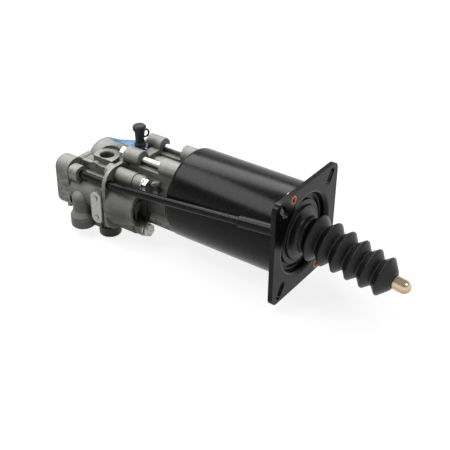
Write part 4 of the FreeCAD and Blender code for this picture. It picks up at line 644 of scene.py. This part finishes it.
FLOOR_REACH = 6
FLOOR_GAP = 0.0005
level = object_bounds()[0][2] - FLOOR_GAP
floor_mesh = bpy.data.meshes.new("floor")
floor_mesh.from_pydata([(-FLOOR_REACH, -FLOOR_REACH, level), (FLOOR_REACH, -FLOOR_REACH, level),
                        (FLOOR_REACH, FLOOR_REACH, level), (-FLOOR_REACH, FLOOR_REACH, level)],
                       [], [(0, 1, 2, 3)])
floor = linked("floor", floor_mesh)


FLOOR_GREY = 0.3
FLOOR_GLOW = 0.86
FADE_START, FADE_END = 0.4, 1.8
SKY_FILL = 0.08
CEILING_START = 0.25
CEILING_END = 0.55
CEILING_LEVEL = 0.3


def seen_as_white(material, plain):
    """The surface glows to camera, glossy and clear rays, from FLOOR_GLOW near the object to full white
    far from it, and keeps the object's shadow."""
    tree = material.node_tree
    shader = tree.nodes["Principled BSDF"]
    shader.inputs["Base Color"].default_value = (plain, plain, plain, 1)
    shader.inputs["Roughness"].default_value = 0.9
    shader.inputs["Specular IOR Level"].default_value = 0.0
    ray = tree.nodes.new("ShaderNodeLightPath")
    seen = math_node(tree, "ADD", ray.outputs["Is Camera Ray"], ray.outputs["Is Glossy Ray"], clamp=True)
    seen = math_node(tree, "ADD", seen, ray.outputs["Is Transmission Ray"], clamp=True)
    far = tree.nodes.new("ShaderNodeVectorMath")
    far.operation = "LENGTH"
    tree.links.new(tree.nodes.new("ShaderNodeTexCoord").outputs["Object"], far.inputs[0])
    fade = ramp_node(tree, far.outputs["Value"], FADE_START, FADE_END)
    fade.node.inputs["To Min"].default_value = FLOOR_GLOW
    glow = math_node(tree, "MULTIPLY", seen, fade)
    tree.links.new(glow, shader.inputs["Emission Strength"])
    shader.inputs["Emission Color"].default_value = (1, 1, 1, 1)


floor_finish = bpy.data.materials.new("pale floor")
floor_finish.use_nodes = True
seen_as_white(floor_finish, FLOOR_GREY)
floor_mesh.materials.append(floor_finish)

world = bpy.data.worlds.new("studio")
bpy.context.scene.world = world
world.use_nodes = True
sky = world.node_tree
background = sky.nodes["Background"]
background.inputs["Color"].default_value = (1, 1, 1, 1)
path = sky.nodes.new("ShaderNodeLightPath")
ray_way = sky.nodes.new("ShaderNodeTexCoord")
ray_parts = sky.nodes.new("ShaderNodeSeparateXYZ")
sky.links.new(ray_way.outputs["Generated"], ray_parts.inputs[0])
ceiling = sky.nodes.new("ShaderNodeMapRange")
ceiling.inputs["From Min"].default_value = CEILING_START
ceiling.inputs["From Max"].default_value = CEILING_END
ceiling.inputs["To Min"].default_value = 1.0
ceiling.inputs["To Max"].default_value = CEILING_LEVEL
sky.links.new(ray_parts.outputs["Z"], ceiling.inputs["Value"])
bounced = math_node(sky, "ADD", path.outputs["Is Glossy Ray"], path.outputs["Is Transmission Ray"],
                    clamp=True)
bounced = math_node(sky, "MULTIPLY", bounced, ceiling.outputs[0])
seen_sky = math_node(sky, "ADD", path.outputs["Is Camera Ray"], bounced, clamp=True)
lit_sky = math_node(sky, "MULTIPLY", ceiling.outputs[0], SKY_FILL)
sky.links.new(math_node(sky, "MAXIMUM", seen_sky, lit_sky), background.inputs["Strength"])


def soft_box(name, place, aim, width, height, power):
    """A rectangular studio lamp that points at a spot on the object."""
    lamp = bpy.data.lights.new(name, "AREA")
    lamp.shape = "RECTANGLE"
    lamp.size, lamp.size_y = width, height
    lamp.energy = power
    made = linked(name, lamp)
    made.location = place
    made.rotation_mode = "QUATERNION"
    made.rotation_quaternion = (Vector(aim) - Vector(place)).to_track_quat("-Z", "Y")


TUBE_MIDDLE = (-0.09, 0.0, 0.03)
soft_box("far box", (-0.64, 0.46, 0.86), TUBE_MIDDLE, 0.75, 0.42, 7.0)
soft_box("near box", (-0.6, -0.36, 0.88), TUBE_MIDDLE, 0.75, 0.42, 6.5)
soft_box("front box", (0.7, 0.1, 0.9), (0, 0, 0), 0.4, 0.4, 2.5)

bpy.context.scene.view_settings.view_transform = "Standard"
